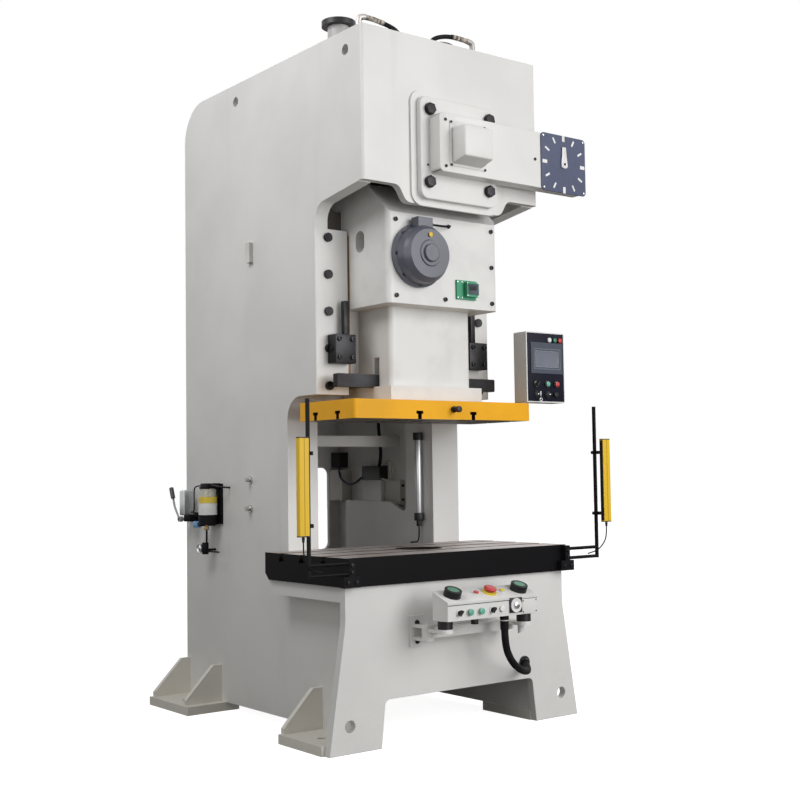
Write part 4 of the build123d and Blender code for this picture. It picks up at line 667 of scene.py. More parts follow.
# %% Two colours on one solid
def two_tone(name, colour, other_colour, is_other, shine=0.4):
    """Enamel in one colour, and another where the test on the place gives 1."""
    finish = Finish(name)
    clouds = finish.noise(6.0, detail=4.0)
    peel = finish.noise(420.0, detail=1.0)
    place = finish.place()
    share = is_other(*(finish.axis(place, letter) for letter in "XYZ"))
    base = finish.blend_colours(share, rgb(*colour), rgb(*other_colour))
    shaded = finish.blend_colours(clouds.between(0.40, 0.75) * 0.12, base, rgb(0.0, 0.0, 0.0))
    gloss = 0.36 + clouds * 0.10
    normal = finish.bump(peel, 0.08, 0.0005)
    return finish.done(Base_Color=shaded, Roughness=gloss, Normal=normal, Specular_IOR_Level=shine)


arm_finish = two_tone("arm_cream_with_rubber", CREAM, BLACK, lambda x, y, z: z.within(0.514, 0.549))
lamp_finish = two_tone(
    "lamp_tube_with_caps", (0.86, 0.86, 0.88), BLACK, lambda x, y, z: 1.0 - z.within(0.9855, 1.3635)
)
air_finish = two_tone(
    "boxes_and_valve",
    (0.50, 0.49, 0.45),
    BLACK,
    lambda x, y, z: (z > 1.222).either(y.within(0.34, 0.52) * (z > 1.05)),
)
pump_finish = two_tone(
    "pump_grey_and_black", BLACK, (0.34, 0.35, 0.36), lambda x, y, z: (y > 0.66) * (z > 0.984)
)
balance_finish = two_tone(
    "balance_steel_and_black", BLACK, (0.46, 0.45, 0.45), lambda x, y, z: z.within(3.2145, 3.3615)
)
lever_finish = two_tone("lever_with_grip", (0.36, 0.36, 0.37), BLACK, lambda x, y, z: z > 1.065, shine=0.8)
# Dark wings: greased machined steel, with painted shade behind the gib plates.
slide_finish = two_tone(
    "slide_cream_with_greased_and_shaded_wings",
    CREAM,
    (0.085, 0.072, 0.060),
    lambda x, y, z: x.size() > 0.337,
    shine=0.5,
)
print("two colours each:", arm_finish.name, lamp_finish.name, air_finish.name, pump_finish.name)

# %% [markdown]
# Every solid of the model now takes its finish. A list from finish to nodes keeps that in one
# place, and the count shows that no node was forgotten.

# %% Finishes of the solids
finishes = {
    cream_enamel: (
        "frame_side_left frame_side_right frame_head_front frame_cross_plates frame_rear_plate "
        "throat_columns frame_bed frame_apron bearing_cap drive_cover gib_plates "
        "rear_guard console_box control_brackets pendant_box"
    ),
    feet_shaded_enamel: "frame_feet",
    slide_finish: "slide_body",
    balance_finish: "balance_cylinders",
    bronze: "shaft_bushes adjust_nut",
    oiled_bronze: "gib_liners",
    dial_plastic: "angle_dial",
    white_plastic: "dial_pointer",
    black_steel: "knockout_stops knockout_bar",
    grey_enamel: "drive_motor adjust_motor",
    rubber: "drive_belts console_hose",
    black_enamel: "curtain_posts",
    arm_finish: "console_arm",
    lamp_finish: "work_lamp",
    air_finish: "air_panel",
    pump_finish: "lubricator_pump",
    bolster_finish: "bolster",
    yellow_finish: "slide_plate",
    yellow_enamel: "light_curtains",
    oil_bowl: "oil_reservoir",
    plated_fittings: "pipe_fittings",
    lever_finish: "lubricator_lever",
    ground_steel: "crankshaft pinion_shaft adjust_worm",
    cast_iron: "main_gear clutch_brake connecting_rod rod_cap flywheel motor_pulley",
    counter_plastic: "height_counter",
    green_plastic: (
        "palm_button_left palm_button_right console_button_left console_button_right "
        "pendant_start_button"
    ),
    red_plastic: "stop_button pendant_stop_button",
    black_plastic: "console_selector_left console_selector_right pendant_selector",
}
finish_of = {name: finish for finish, names in finishes.items() for name in names.split()}
for name, finish in finish_of.items():
    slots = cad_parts[name].data.materials
    for index in range(len(slots)):
        slots[index] = finish
print(len(finish_of), "of", len(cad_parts), "solids have their finish")

# %% [markdown]
# A new piece takes two things before it is done: a finish, and the body that it moves with.


def dress(name, piece, finish):
    """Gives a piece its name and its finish."""
    piece.name = name
    piece.data.name = name
    piece.data.materials.clear()
    piece.data.materials.append(finish)
    return piece


def fit(name, body, finish, model, places=None):
    """Copies a model to its places, if it has some, dresses it and fixes it to its body."""
    piece = dress(name, repeated(model, places) if places else model, finish)
    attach(piece, body)
    return piece


# %% [markdown]
# The console's hose runs from the swinging console down into the fixed apron. A short cone under the
# console holds it where it comes out.

# %% Hose of the console
hose = dress("console_hose_tube", tube(HOSE_ROUTE, HOSE_RADIUS, sides=10), rubber)
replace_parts(hose, "console_hose")
at(358, -48, 272)
at(80, -200, 500)
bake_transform(hose)
tuple(at(80, -200, 525))
relief = disc(21.0, -42.0, 27.9, corners=40)
taper_end(relief, -TOP, (0.86, 0.86, 1.0), (0.0, 0.0, -0.042))
fit("console_hose_relief", "console", rubber, soften(relief, 1.5), [upward(*HOSE_ROUTE[0])])
print("hose has", len(hose.data.vertices), "points")

# %% [markdown]
# Three kinds of screw hold the plates. A hexagon screw has a chamfered head over a washer, a plain
# one has its recess closed with a cap, and a socket screw has a round head with a six-sided recess.
# Each kind is modelled once, standing on the origin, and copied to its places with its own mesh; a
# small turn keeps a row of them from looking stamped.


# %% Screw heads
def hexagon_screw(across_flats, height, washer_radius, washer_height=2.0):
    """A hexagon head on a flat washer."""
    head = disc(across_flats / 3**0.5, washer_height, washer_height + height, corners=6)
    step_end(head, TOP, (across_flats * 0.07, across_flats * 0.05))
    return joined(soften(head, 0.8), disc(washer_radius, 0.0, washer_height, soft=0.8))


def plain_head(radius, height):
    """A round head whose recess is closed with a cap."""
    return soften(step_end(disc(radius, 0.0, height, corners=36), TOP, (radius * 0.25, -0.8)), 1.4)


def socket_screw(radius, height, corners=32):
    """A round head with a hexagon recess."""
    head = disc(radius, 0.0, height, corners, soft=min(1.4, radius * 0.12))
    return sunk(head, disc(radius * 0.58, height * 0.45, height + 2.0, corners=6))


def fit_screws(name, body, finish, size, places, depth, turn=0, further=0):
    """Fits equal socket screws that point to the front at one depth."""
    fit(name, body, finish, socket_screw(*size), on_face(places, depth, turn, further))


CAP_FACE, SLIDE_FACE, GIB_FACE = -38, 83, 385
CAP_SCREWS = ((-183, 2517, 9), (-177, 2855, 21), (177, 2516, 3), (182, 2859, 16))
GIB_SCREW_HEIGHTS = (2300, 2126, 1952, 1778, 1604)
cap_places = [to_front(x, CAP_FACE, z, turn) for x, z, turn in CAP_SCREWS]
fit("bearing_cap_screws", "frame", black_steel, hexagon_screw(50.0, 18.0, 27.0), cap_places)
gib_places = []
for side in SIDES:
    gib_places += on_face(grid([side * 460], GIB_SCREW_HEIGHTS), GIB_FACE, further=13)
fit("gib_screws", "frame", black_steel, plain_head(21.0, 15.0), gib_places)
fit("bearing_cap_pin", "frame", black_steel, plain_head(5.5, 3.0), [to_front(-188, CAP_FACE, 2596)])
slide_places = ((-288, 2356), (-288, 2005), (292, 2356), (292, 2180), (292, 2005), (0, 2005))
fit_screws("slide_screws", "slide", black_steel, (10.5, 8.0), slide_places, SLIDE_FACE, further=11)
cover_places = ((-141, 2797), (-141, 2583), (415, 2692))
fit_screws("cover_screws", "frame", black_steel, (7.5, 4.0, 20), cover_places, -110, further=17)
print("screws on gibs, slide and cover:", len(gib_places), len(slide_places), len(cover_places))

# %% [markdown]
# The apron is one flame-cut plate: its legs spread towards the floor and leave a low opening with
# tight corners between them. It starts as a slab that is bisected where the legs begin to spread;
# the lower end is widened, and the opening and the two lifting holes are cut out together.

# %% Apron
SHOULDER, FOOT = 647.0, 736.0
BEND_HEIGHT = 0.55
OPENING_FOOT, OPENING_TOP, OPENING_HEIGHT = 461.0, 437.0, 208.0
apron = slab((-SHOULDER, SHOULDER), (5.0, 45.0), (0.0, 707.0))
pick(apron, lambda middle, normal: True)
bpy.ops.mesh.bisect(plane_co=(0.0, 0.0, BEND_HEIGHT), plane_no=(0.0, 0.0, 1.0))
taper_end(apron, -TOP, (FOOT / SHOULDER, 1.0, 1.0), at(0, 25, 0))
round_edges(apron, "Y", 30.0, 6, lambda middle: abs(middle.z - BEND_HEIGHT) < 0.001)
opening = slab((-OPENING_FOOT, OPENING_FOOT), (-20.0, 70.0), (-2.0, OPENING_HEIGHT))
taper_end(opening, TOP, (OPENING_TOP / OPENING_FOOT, 1.0, 1.0), at(0, 25, OPENING_HEIGHT))
round_edges(opening, "Y", 24.0, 6, lambda middle: middle.z > 0.1)
holes = repeated(disc(27.0, -60.0, 20.0, corners=48), on_face([(-628, 116), (628, 116)], 5))
apron = fit("apron_plate", "frame", cream_enamel, soften(sunk(apron, joined(opening, holes)), 2.0))
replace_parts(apron, "frame_apron")
print("apron has", len(apron.data.polygons), "faces")

# %% [markdown]
# The square switch cover stands on a thin flange with a screw in each corner. The flange is a plate
# whose upright corners are bevelled, and the cover is a hood that gets narrower towards the front.

# %% Switch cover
flange = round_edges(slab((-118, 100), (-114, -109.5), (2588, 2800)), "Y", 12.0, 4)
flange = fit("switch_cover_flange", "frame", cream_enamel, soften(flange, 1.0))
hood = slab((-105, 73), (-200, -113.8), (2598, 2766))
taper_end(hood, FRONT, (0.95, 1.0, 0.845), at(-16, -200, 2682), lift=10.0)
fit("switch_cover_hood", "frame", cream_enamel, soften(hood, 6.0, segments=3))
corners = grid((-111, 90), (2592, 2790))
fit_screws("switch_cover_screws", "frame", black_steel, (6.0, 4.0, 20), corners, -114, 15)
print("flange of the switch cover has", len(flange.data.polygons), "faces")

# %% [markdown]
# The angle dial shows where the crank stands. Its marks are white bars on a dark blue plate, four
# thick ones at the quarters and eight thin ones between. One bar is modelled upright and turned
# round the dial's middle for each place. The pointer sits on an axle with the belt's small pulley.

# %% Dial and pointer
DIAL_X, DIAL_FACE, DIAL_Z = 602, -116, 2690
MARK_THICKNESS = 1.2
plate = block(*(Vector(corner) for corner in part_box("angle_dial")))
plate = soften(round_edges(plate, "Y", 20.0, 5), 1.2)
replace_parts(fit("angle_dial_plate", "frame", dial_plastic, plate), "angle_dial")


def marks(width, angles):
    """Bars of one width, turned about the dial's middle and set on its face."""
    depths = (ORIGIN_DEPTH, ORIGIN_DEPTH + MARK_THICKNESS)
    mark = round_edges(slab((-width / 2, width / 2), depths, (112, 143)), "Y", 2.0, 2)
    spot = Matrix.Translation(at(DIAL_X, DIAL_FACE - MARK_THICKNESS, DIAL_Z))
    return repeated(mark, [spot @ Matrix.Rotation(radians(angle), 4, "Y") for angle in angles])


thick, thin = marks(17, range(0, 360, 90)), marks(10, [a for a in range(0, 360, 30) if a % 90])
dial_marks = fit("dial_marks", "frame", white_plastic, joined(thick, thin))
corners = grid((DIAL_X - 135, DIAL_X + 135), (DIAL_Z - 127, DIAL_Z + 127))
fit_screws("dial_screws", "frame", chrome, (5.0, 3.0, 16), corners, DIAL_FACE)
pointer = slab((-22.5, 22.5), (-123.0, -119.5), (-20.0, 84.0))
taper_end(pointer, TOP, (0.5, 1.0, 1.0), at(0, -121, 84))
round_edges(pointer, "Y", 15.0, 5, lambda middle: middle.z < 0.0)
pointer = repeated(soften(pointer, 0.8), [slid(DIAL_X, DIAL_Z)])
axle = joined(
    disc(8.0, -75.0, 0.0, soft=0.8),
    disc(60.0, -59.0, -35.0, corners=48, soft=0.8),
    disc(16.0, -6.0, 0.0, soft=0.8),
)
axle = repeated(axle, [to_front(DIAL_X, -125, DIAL_Z)])
pointer = fit("dial_pointer_arm", "dial_pointer", white_plastic, joined(pointer, axle))
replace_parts(pointer, "dial_pointer")
print("dial has", len(dial_marks.data.polygons), "mark faces")

# %% [markdown]
# The adjusting motor on the slide is a flat gear motor. Eight screws hold its flange, its end cap has
# a raised boss, and a cable leaves the terminal box on the right and goes into the slide.

# %% Adjusting motor
MOTOR_X, MOTOR_FACE, MOTOR_Z = -165, -24, 2195
MOTOR_SCREW_RING = 131
MOTOR_CABLE = (
    (-105, 40, 2341),
    (-70, 40, 2341),
    (-30, 42, 2342),
    (8, 48, 2348),
    (24, 66, 2352),
    (26, 86, 2353),
)
ring = []
for angle in range(0, 360, 45):
    x = MOTOR_X + MOTOR_SCREW_RING * cos(radians(angle))
    z = MOTOR_Z + MOTOR_SCREW_RING * sin(radians(angle))
    ring.append(to_front(x, 65, z, angle))
fit("adjust_motor_screws", "slide", black_steel, socket_screw(11.0, 10.0, corners=24), ring)
boss = soften(step_end(disc(42.0, -0.5, 9.0, corners=48), TOP, (4.0, 3.0), (20.0, -1.5)), 1.2)
fit("adjust_motor_boss", "slide", grey_enamel, boss, [to_front(MOTOR_X, MOTOR_FACE, MOTOR_Z)])
spot = disc(11.0, -0.2, 0.8, corners=28, soft=0.3)
fit("adjust_motor_spot", "slide", yellow_enamel, spot, [to_front(-166, MOTOR_FACE, 2280)])
gland = joined(disc(11.0, 0.0, 9.0, corners=6, soft=0.8), disc(8.5, 9.0, 20.0, soft=2.0))
fit("adjust_motor_gland", "slide", black_plastic, gland, [to_right(-123, 40, 2341)])
fit("adjust_motor_cable", "slide", rubber, tube(MOTOR_CABLE, 5.0))
grommet = disc(10.0, -0.5, 5.0, soft=1.5)
fit("adjust_cable_grommet", "slide", rubber, grommet, [to_front(26, SLIDE_FACE, 2353)])
print("adjusting motor has", len(ring), "flange screws")

# %% [markdown]
# The height counter has a dark window in its green face, and a small screw in each corner. The
# window is a plate whose middle is sunk by an inset, and four black number wheels stand in it.

# %% Height counter
window = step_end(slab((116.0, 179.0), (47.6, 49.4), (2034.0, 2086.0)), FRONT, (2.5, -1.2))
fit("counter_window", "slide", slate_plastic, apply_modifiers(window))
wheel = slab((-4.6, 4.6), (47.2, 49.0), (2056.0, 2076.0), soft=0.3)
wheels = [slid(x) for x in (129, 140, 151, 162)]
fit("counter_wheels", "slide", black_plastic, wheel, wheels)
corners = grid((112.5, 178), (2029, 2090))
fit_screws("counter_screws", "slide", chrome, (2.8, 1.6, 16), corners, 49, 20)
corners = grid((72, 98), (2020, 2095))
fit_screws("counter_base_screws", "slide", chrome, (3.5, 2.0, 16), corners, 73, 20)
print("counter has", len(wheels), "number wheels")

# %% [markdown]
# Two air hoses arch over the front edge of the head. They are wrapped in tape, and each ends in
# elbows that are screwed into the top plate. A row of the table holds the lines of one hose, of the
# elbow at one of its ends, and of the tape.

# %% Hoses on the head's top
HEAD_LINES = (
    (
        (
            *((-472, 96, 3200), (-472, 96, 3236), (-464, 92, 3262), (-430, 84, 3266)),
            *((-376, 76, 3258), (-320, 66, 3243), (-284, 60, 3228), (-256, 58, 3200)),
        ),
        ((-472, 96, 3204), (-472, 96, 3246), (-468, 93, 3266), (-440, 86, 3267)),
        ((-446, 88, 3265), (-430, 84, 3266), (-376, 76, 3258), (-348, 71, 3251)),
    ),
    (
        (
            *((-86, 62, 3200), (-76, 62, 3222), (-46, 64, 3243), (8, 68, 3262), (64, 70, 3270)),
            *((128, 72, 3271), (186, 74, 3265), (191, 76, 3240), (191, 76, 3200)),
        ),
        ((150, 73, 3269), (184, 74, 3267), (191, 76, 3250), (191, 76, 3203)),
        ((56, 70, 3270), (64, 70, 3270), (128, 72, 3271), (156, 73, 3268)),
    ),
)
HEAD_TUBES = (("hose", 10.5, rubber), ("elbow", 13.5, galvanised), ("tape", 12.0, tape))
for index, lines in enumerate(HEAD_LINES, start=1):
    for (part, radius, finish), line in zip(HEAD_TUBES, lines):
        fit(f"head_{part}_{index}", "frame", finish, tube(line, radius, sides=8))
    ends = [upward(*lines[0][0]), upward(*lines[0][-1])]
    collar = disc(18.0, -0.5, 14.0, corners=6, soft=1.2)
    fit(f"head_hose_collars_{index}", "frame", galvanised, collar, ends)
print("hoses on the head:", len(HEAD_LINES))

# %% [markdown]
# The console's lid slopes towards the operator, so a piece on it stands on a tilted base. Its two
# palm buttons are green discs in tall black collars; the collars keep a sleeve or an elbow from
# pressing both at once. Between them stand the red mushroom of the emergency stop and two lamps.

# %% Places on the console's lid
LID_DEPTH, LID_HEIGHT = -250.0, 633.0
LID_RUN, LID_RISE = 106.0, 42.0
LID_TILT = Matrix.Rotation(atan2(LID_RISE, LID_RUN), 4, "X")


def on_lid(x, along=0.5):
    """Stands a model on the sloped lid; along is the share of the way from its front edge."""
    foot = at(x, LID_DEPTH + LID_RUN * along, LID_HEIGHT + LID_RISE * along)
    return Matrix.Translation(foot) @ LID_TILT


def turned_ring(outer, inner, low, high, soft=1.0, overshoot=5.0, corners=56):
    """A ring on the origin's upright axis, cut from a disc."""
    core = disc(inner, low - overshoot, high + overshoot, corners)
    return soften(sunk(disc(outer, low, high, corners), core), soft)


PALMS = {"left": -222, "right": 168}
collar = turned_ring(39.2, 32.15, -0.3, 32.8, soft=1.4, corners=64)
collars = fit("palm_collars", "console", black_plastic, collar, [on_lid(x) for x in PALMS.values()])
for side, x in PALMS.items():
    rim = turned_ring(31.8, 27.0, 32.0, 34.4)
    fit(f"palm_rim_{side}", f"palm_button_{side}", black_plastic, rim, [on_lid(x)])
print("palm collars:", len(collars.data.polygons), "faces")

# %% Emergency stop and lamps of the console
STOP_PLACE = [on_lid(-5)]
fit("stop_plate", "console", yellow_plastic, turned_ring(33.0, 11.2, -0.3, 10.6), STOP_PLACE)
stop_cap = step_end(disc(29.0, 17.8, 26.5, corners=56), TOP, (6.0, 3.0), (10.0, 0.8))
stop_cap = joined(soften(stop_cap, 2.5, segments=3, angle=20), disc(10.0, 13.0, 19.0))
stop_cap = fit("stop_cap", "stop_button", red_plastic, stop_cap, STOP_PLACE)
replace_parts(stop_cap, "stop_button")


def lens(radius, low, high):
    """A lamp's lens or a button's cap: a disc with a raised, rounded middle."""
    piece = step_end(disc(radius, low, high, corners=40), TOP, (radius * 0.30, radius * 0.12))
    return soften(piece, radius * 0.08, segments=2, angle=15)


def fit_lenses(*rows):
    """Fits one lens, or one set of equal lenses, for each row."""
    for name, body, finish, size, *places in rows:
        fit(name, body, finish, lens(*size), places)


BUTTON_ROW = 587
fit_lenses(
    ("console_lamp_red", "console", red_plastic, (12.0, 7.0, 14.0), on_lid(-84)),
    ("console_lamp_yellow", "console", yellow_plastic, (11.5, 7.0, 13.0), on_lid(70)),
    ("console_lamp_white", "console", white_plastic, (13.0, -0.5, 3.0), to_front(19, -256, BUTTON_ROW)),
)
for side, x in (("left", -167), ("right", -104)):
    place = to_front(x, -260, BUTTON_ROW)
    fit_lenses((f"console_cap_{side}", f"console_button_{side}", mint_plastic, (14.5, -1.0, 5.0), place))
print("console has its lamps and caps")

# %% [markdown]
# The housing is folded from sheet. Its lid overlaps the front with a small lip, and a thin black strip
# under the lip is painted as its shadow. The right end of the front is a separate cover with four
# screws. Beside it sits a round instrument in a black square.

# %% Lid, cover and instrument of the console
HOUSING = (-291.5, 237.5)
INSTRUMENT_X, INSTRUMENT_Z = 102, 597
lid = slab(HOUSING, (ORIGIN_DEPTH - 1.2, ORIGIN_DEPTH + 114.5), (0.1, 2.2))
lid = soften(step_end(lid, FRONT, (0.4, 0.0)), 0.5)
fit("console_lid", "console", cream_enamel, lid, [on_lid(0, along=0.0)])
lip = slab(HOUSING, (-252.4, -250.2), (622.0, 634.2))
round_edges(lip, "X", 0.9, 2, lambda middle: middle.z < 0.628)
fit("console_lip", "console", cream_enamel, apply_modifiers(lip))
# A thin black strip under the lip: painted shadow of the lip.
lip_shadow = slab((-290.0, 236.0), (-250.9, -249.8), (619.0, 622.4), soft=0.3)
fit("console_lip_shadow", "console", black_plastic, lip_shadow)
cover = step_end(slab((141.0, 234.0), (-251.8, -250.2), (555.5, 620.0)), FRONT, (2.0, 0.5))
fit("console_front_cover", "console", cream_enamel, apply_modifiers(cover))
corners = grid((148, 227), (563, 612))
fit_screws("console_cover_screws", "console", black_steel, (3.2, 1.8, 16), corners, -252, 20)
square = slab((65.4, 138.6), (-256.8, -250.1), (564.4, 630.6), soft=1.0)
fit("instrument_plate", "console", black_plastic, square)
rim = soften(step_end(disc(32.0, 0.0, 3.0, corners=56), TOP, (4.0, -1.2)), 0.6)
fit("instrument", "console", white_plastic, rim, [to_front(INSTRUMENT_X, -256.8, INSTRUMENT_Z)])
knob = soften(step_end(disc(15.0, 0.5, 8.0, corners=24), TOP, (4.0, 2.0)), 0.7)
fit("instrument_knob", "console", chrome, knob, [to_front(INSTRUMENT_X, -257.8, INSTRUMENT_Z)])
clamp_place = upward(-109, -215, 551)
fit_lenses(("console_clamp_knob", "console", black_plastic, (17.0, -24.0, 0.0), clamp_place))
print("console's housing is dressed")

# %% [markdown]
# The pendant's box is cream at its sides and carries a dark panel in front. A touch screen sits in a
# slate frame; above it are three signal lamps, below it push buttons, switches and a key.

# %% Pendant
LAMP_ROW, UPPER_ROW, LOWER_ROW = 1850, 1628, 1575
PENDANT_FACE = 90
panel = slab((535.5, 785.0), (98.4, 100.2), (1541.0, 1882.5), soft=0.8)
fit("pendant_panel", "pendant", panel_enamel, panel)
bezel = slab((555.4, 773.6), (93.2, 98.5), (1679.4, 1835.6))
bezel = sunk(bezel, slab((585.6, 745.4), (90.0, 97.0), (1712.6, 1793.4)))
fit("pendant_screen_frame", "pendant", slate_plastic, soften(bezel, 1.2))
trim = slab((574.0, 757.0), (92.6, 93.6), (1701.0, 1805.0))
trim = sunk(trim, slab((578.5, 752.5), (90.0, 95.0), (1705.5, 1800.5)))
fit("pendant_screen_trim", "pendant", screen_glass, trim)
screen = step_end(slab((585.8, 745.2), (94.8, 97.2), (1712.8, 1793.2)), FRONT, (3.0, -0.6))
fit("pendant_screen", "pendant", screen_glass, apply_modifiers(screen))
signal, button = (11.8, -10.0, 1.0), (12.9, -0.8, 4.0)
fit_lenses(
    ("pendant_lamp_white", "pendant", white_plastic, signal, to_front(683, PENDANT_FACE, LAMP_ROW)),
    ("pendant_lamp_green", "pendant", green_plastic, signal, to_front(720, PENDANT_FACE, LAMP_ROW)),
    ("pendant_lamp_red", "pendant", red_plastic, signal, to_front(756, PENDANT_FACE, LAMP_ROW)),
)
for name, finish, x in (("start", mint_plastic, 665), ("stop", red_plastic, 729)):
    place = to_front(x, PENDANT_FACE, UPPER_ROW)
    fit_lenses((f"pendant_{name}_cap", f"pendant_{name}_button", finish, button, place))
rings = on_face(grid((589, 665, 729), [UPPER_ROW]) + grid((592, 667), [LOWER_ROW]), 98.4)
fit("pendant_switch_rings", "pendant", black_steel, turned_ring(18.5, 13.2, -0.5, 6.0), rings)
print("pendant has its screen, lamps and caps")

# %% Switches and key of the pendant
lower_places = on_face(grid((592, 667, 723), [LOWER_ROW]), 92)
fit_lenses(("pendant_lower_switches", "pendant", black_plastic, (13.4, -8.0, 3.0), *lower_places))
bar = slab((-3.0, 3.0), (ORIGIN_DEPTH - 3.0, ORIGIN_DEPTH + 3.0), (2.0, 9.0), soft=1.0)
bar_places = ((592, 90, 40), (667, 90, -30), (667, 84, 10))
bar_places = [to_front(x, depth, LOWER_ROW, turn) for x, depth, turn in bar_places]
fit("pendant_switch_bars", "pendant", chrome, bar, bar_places)
shank = slab((-1.4, 1.4), (74.0, 88.0), (1560.0, 1590.0), soft=0.5)
bow = repeated(turned_ring(9.0, 5.5, -1.0, 1.0, soft=0.4), [to_front(0, 74, 1548)])
fit("pendant_key", "pendant", chrome, joined(shank, bow), [slid(600)])
print("pendant has its key")

# %% [markdown]
# A light curtain is a drawn profile with a dark window along its front, a cap at each end and a
# plug with a cable below. The window is a thin strip, and its edges are bevelled like the profile's.

# %% Light curtains
CURTAIN_X, INNER_FACE = 900.0, 874.3
CAP_HEIGHTS = (936.0, 1345.0)
CURTAIN_LEAD = (
    *((900, -62, 918), (900, -62, 880), (893, -58, 842)),
    *((868, -48, 808), (838, -40, 791), (790, -38, 783)),
)
both_sides = [slid(side * CURTAIN_X) for side in SIDES]
strip = slab((-1.0, 1.0), (-73.0, -52.5), (944.0, 1342.0), soft=0.5)
fit("curtain_windows", "frame", black_plastic, strip, [slid(side * INNER_FACE) for side in SIDES])
# A dark ochre strip down the front of each profile is painted shade of its groove.
groove_shade = slab((-1.6, 1.6), (-76.5, -75.7), (939.0, 1347.0))
groove_shade = round_edges(groove_shade, "Z", 0.3, 2, lambda middle: middle.y < at(0, -76.2, 0).y)
fit("curtain_groove_shades", "frame", groove_shade_enamel, groove_shade, both_sides)
end_cap = round_edges(slab((-26.3, 26.3), (-76.3, -47.7), (0.0, 5.0)), "Z", 7.2, 4)
cap_places = [slid(side * CURTAIN_X, z) for side in SIDES for z in CAP_HEIGHTS]
end_caps = fit("curtain_end_caps", "frame", black_plastic, soften(end_cap, 1.0), cap_places)
plug = joined(disc(5.5, -20.0, 2.5, soft=1.0), disc(7.0, -9.0, -2.0, corners=8, soft=0.8))
plug_places = [upward(side * CURTAIN_X, -62, 934) for side in SIDES]
fit("curtain_plugs", "frame", black_plastic, plug, plug_places)
for side, name in zip(SIDES, ("left", "right")):
    lead = tube([(side * x, depth, z) for x, depth, z in CURTAIN_LEAD], 3.0)
    fit(f"curtain_cable_{name}", "frame", rubber, lead)
print("light curtains:", len(end_caps.data.polygons), "faces on the caps")

# %% [markdown]
# Bolts hold the corner blocks to the bolster, the stop blocks to the gibs and the console's hinge to
# the apron. A clamp stud stands in the slide plate's front; it turns in a bored boss.

# %% Bolts of the blocks, and the stud of the slide plate
CORNER_BOLTS = ((643, 805), (643, 775), (620, 732), (664, 732))
corners = [(side * x, z) for side in SIDES for x, z in CORNER_BOLTS]
fit_screws("corner_bolts", "frame", black_steel, (7.5, 7.0, 24), corners, -45, 20)
stops = []
for side in SIDES:
    near, far = sorted((side * 349, side * 465))
    stops.append(slab((near, far), (318, 385.2), (1707, 1842), soft=4.0))
    near, far = sorted((side * 374, side * 402))
    stops.append(slab((near, far), (336, 364), (1841, 2001), soft=2.0))
stops = fit("stop_blocks", "frame", black_steel, joined(*stops))
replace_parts(stops, "knockout_stops")
stop_bolts = on_face([(side * x, z) for side in SIDES for x, z in grid((370, 444), (1734, 1820))], 318, 10)
stop_bolts += [to_left(x, 350, 1774) for x in (-465, 349)]
stop_bolts += [to_right(x, 350, 1774) for x in (-349, 465)]
fit("stop_block_bolts", "frame", black_steel, socket_screw(11.0, 9.0, corners=28), stop_bolts)
hinge_bolts = on_face([(-268, 447.0), (-268, 529.5)], -7, 5)
fit("hinge_bolts", "frame", black_steel, hexagon_screw(16.0, 7.0, 12.0), hinge_bolts)
collar, neck = disc(16.0, -0.5, 14.0, corners=6, soft=1.2), disc(10.0, 12.0, 34.0, soft=1.0)
stud = joined(collar, neck, lens(15.0, 32.0, 48.0))
fit("plate_stud", "slide", black_steel, stud, [to_front(38, SLIDE_FACE, 1488)])
print("bolts of the blocks:", len(corners) + len(stop_bolts))

# %% [markdown]
# The hand lubricator has a clear bowl with oil at its bottom, a yellow band, a bare white label and
# a black lid. Thin pipes come out of the lid, and a small gauge hangs below.

# %% Bowl, bands and pipes of the lubricator
LUBE_X = -588
BOWL = [upward(LUBE_X, 1315, 0)]
lube_lid = slab((-612.0, -539.0), (1264.0, 1352.0), (1131.0, 1154.5), soft=3.0)
lube_lid = joined(lube_lid, repeated(disc(44.0, 1126.0, 1137.0, corners=48, soft=2.0), BOWL))
fit("lubricator_lid", "frame", black_enamel, lube_lid)
for name, finish, inner, low, high in (
    ("lubricator_yellow_band", yellow_plastic, 41.9, 1054.0, 1085.0),
    ("lubricator_label", white_plastic, 41.9, 993.0, 1053.0),
    ("lubricator_base", black_enamel, 44.9, 942.0, 992.0),
):
    fit(name, "frame", finish, turned_ring(47.6, inner, low, high, soft=0.5), BOWL)
floater = joined(disc(15.0, 1086.0, 1104.0, soft=2.0), disc(4.0, 1060.0, 1128.0, soft=0.5))
fit("lubricator_float", "frame", white_plastic, floater, BOWL)
LUBE_PIPE = (
    *((-590, 1346, 1143), (-594, 1400, 1143), (-600, 1440, 1134), (-600, 1441, 1090)),
    *((-600, 1441, 1040), (-598, 1446, 1012), (-592, 1470, 1004), (-588, 1492, 1004)),
)
SPOUT = (
    *((-600, 1266, 1144), (-600, 1236, 1144), (-594, 1210, 1140)),
    *((-570, 1196, 1134), (-528, 1192, 1132)),
)
GAUGE_PIPE = ((-590, 1335, 820), (-590, 1352, 820), (-592, 1366, 819), (-594, 1380, 818))
fit("lubricator_pipe", "frame", black_steel, tube(LUBE_PIPE, 3.6))
fit("lubricator_spout", "frame", black_steel, tube(SPOUT, 4.5))
fit("lubricator_gauge_pipe", "frame", bronze, tube(GAUGE_PIPE, 5.0))
gauge = joined(turned_ring(25.0, 21.0, 0.0, 15.0), disc(22.0, 0.0, 11.0, corners=40, soft=0.6))
fit("lubricator_gauge", "frame", chrome, gauge, [to_left(-592, 1380, 818)])
nut, neck = disc(12.0, 915.0, 932.0, corners=6, soft=1.0), disc(8.0, 930.0, 946.0, soft=0.8)
fit("lubricator_fitting", "frame", bronze, joined(nut, neck), [upward(LUBE_X, 1330, 0)])
blue_cap = slab((-618.0, -590.0), (1380.0, 1426.0), (926.0, 958.0), soft=4.0)
fit("lubricator_blue_cap", "frame", blue_plastic, blue_cap)
holder = slab((-612.0, -528.0), (1348.0, 1384.0), (934.0, 951.0), soft=2.0)
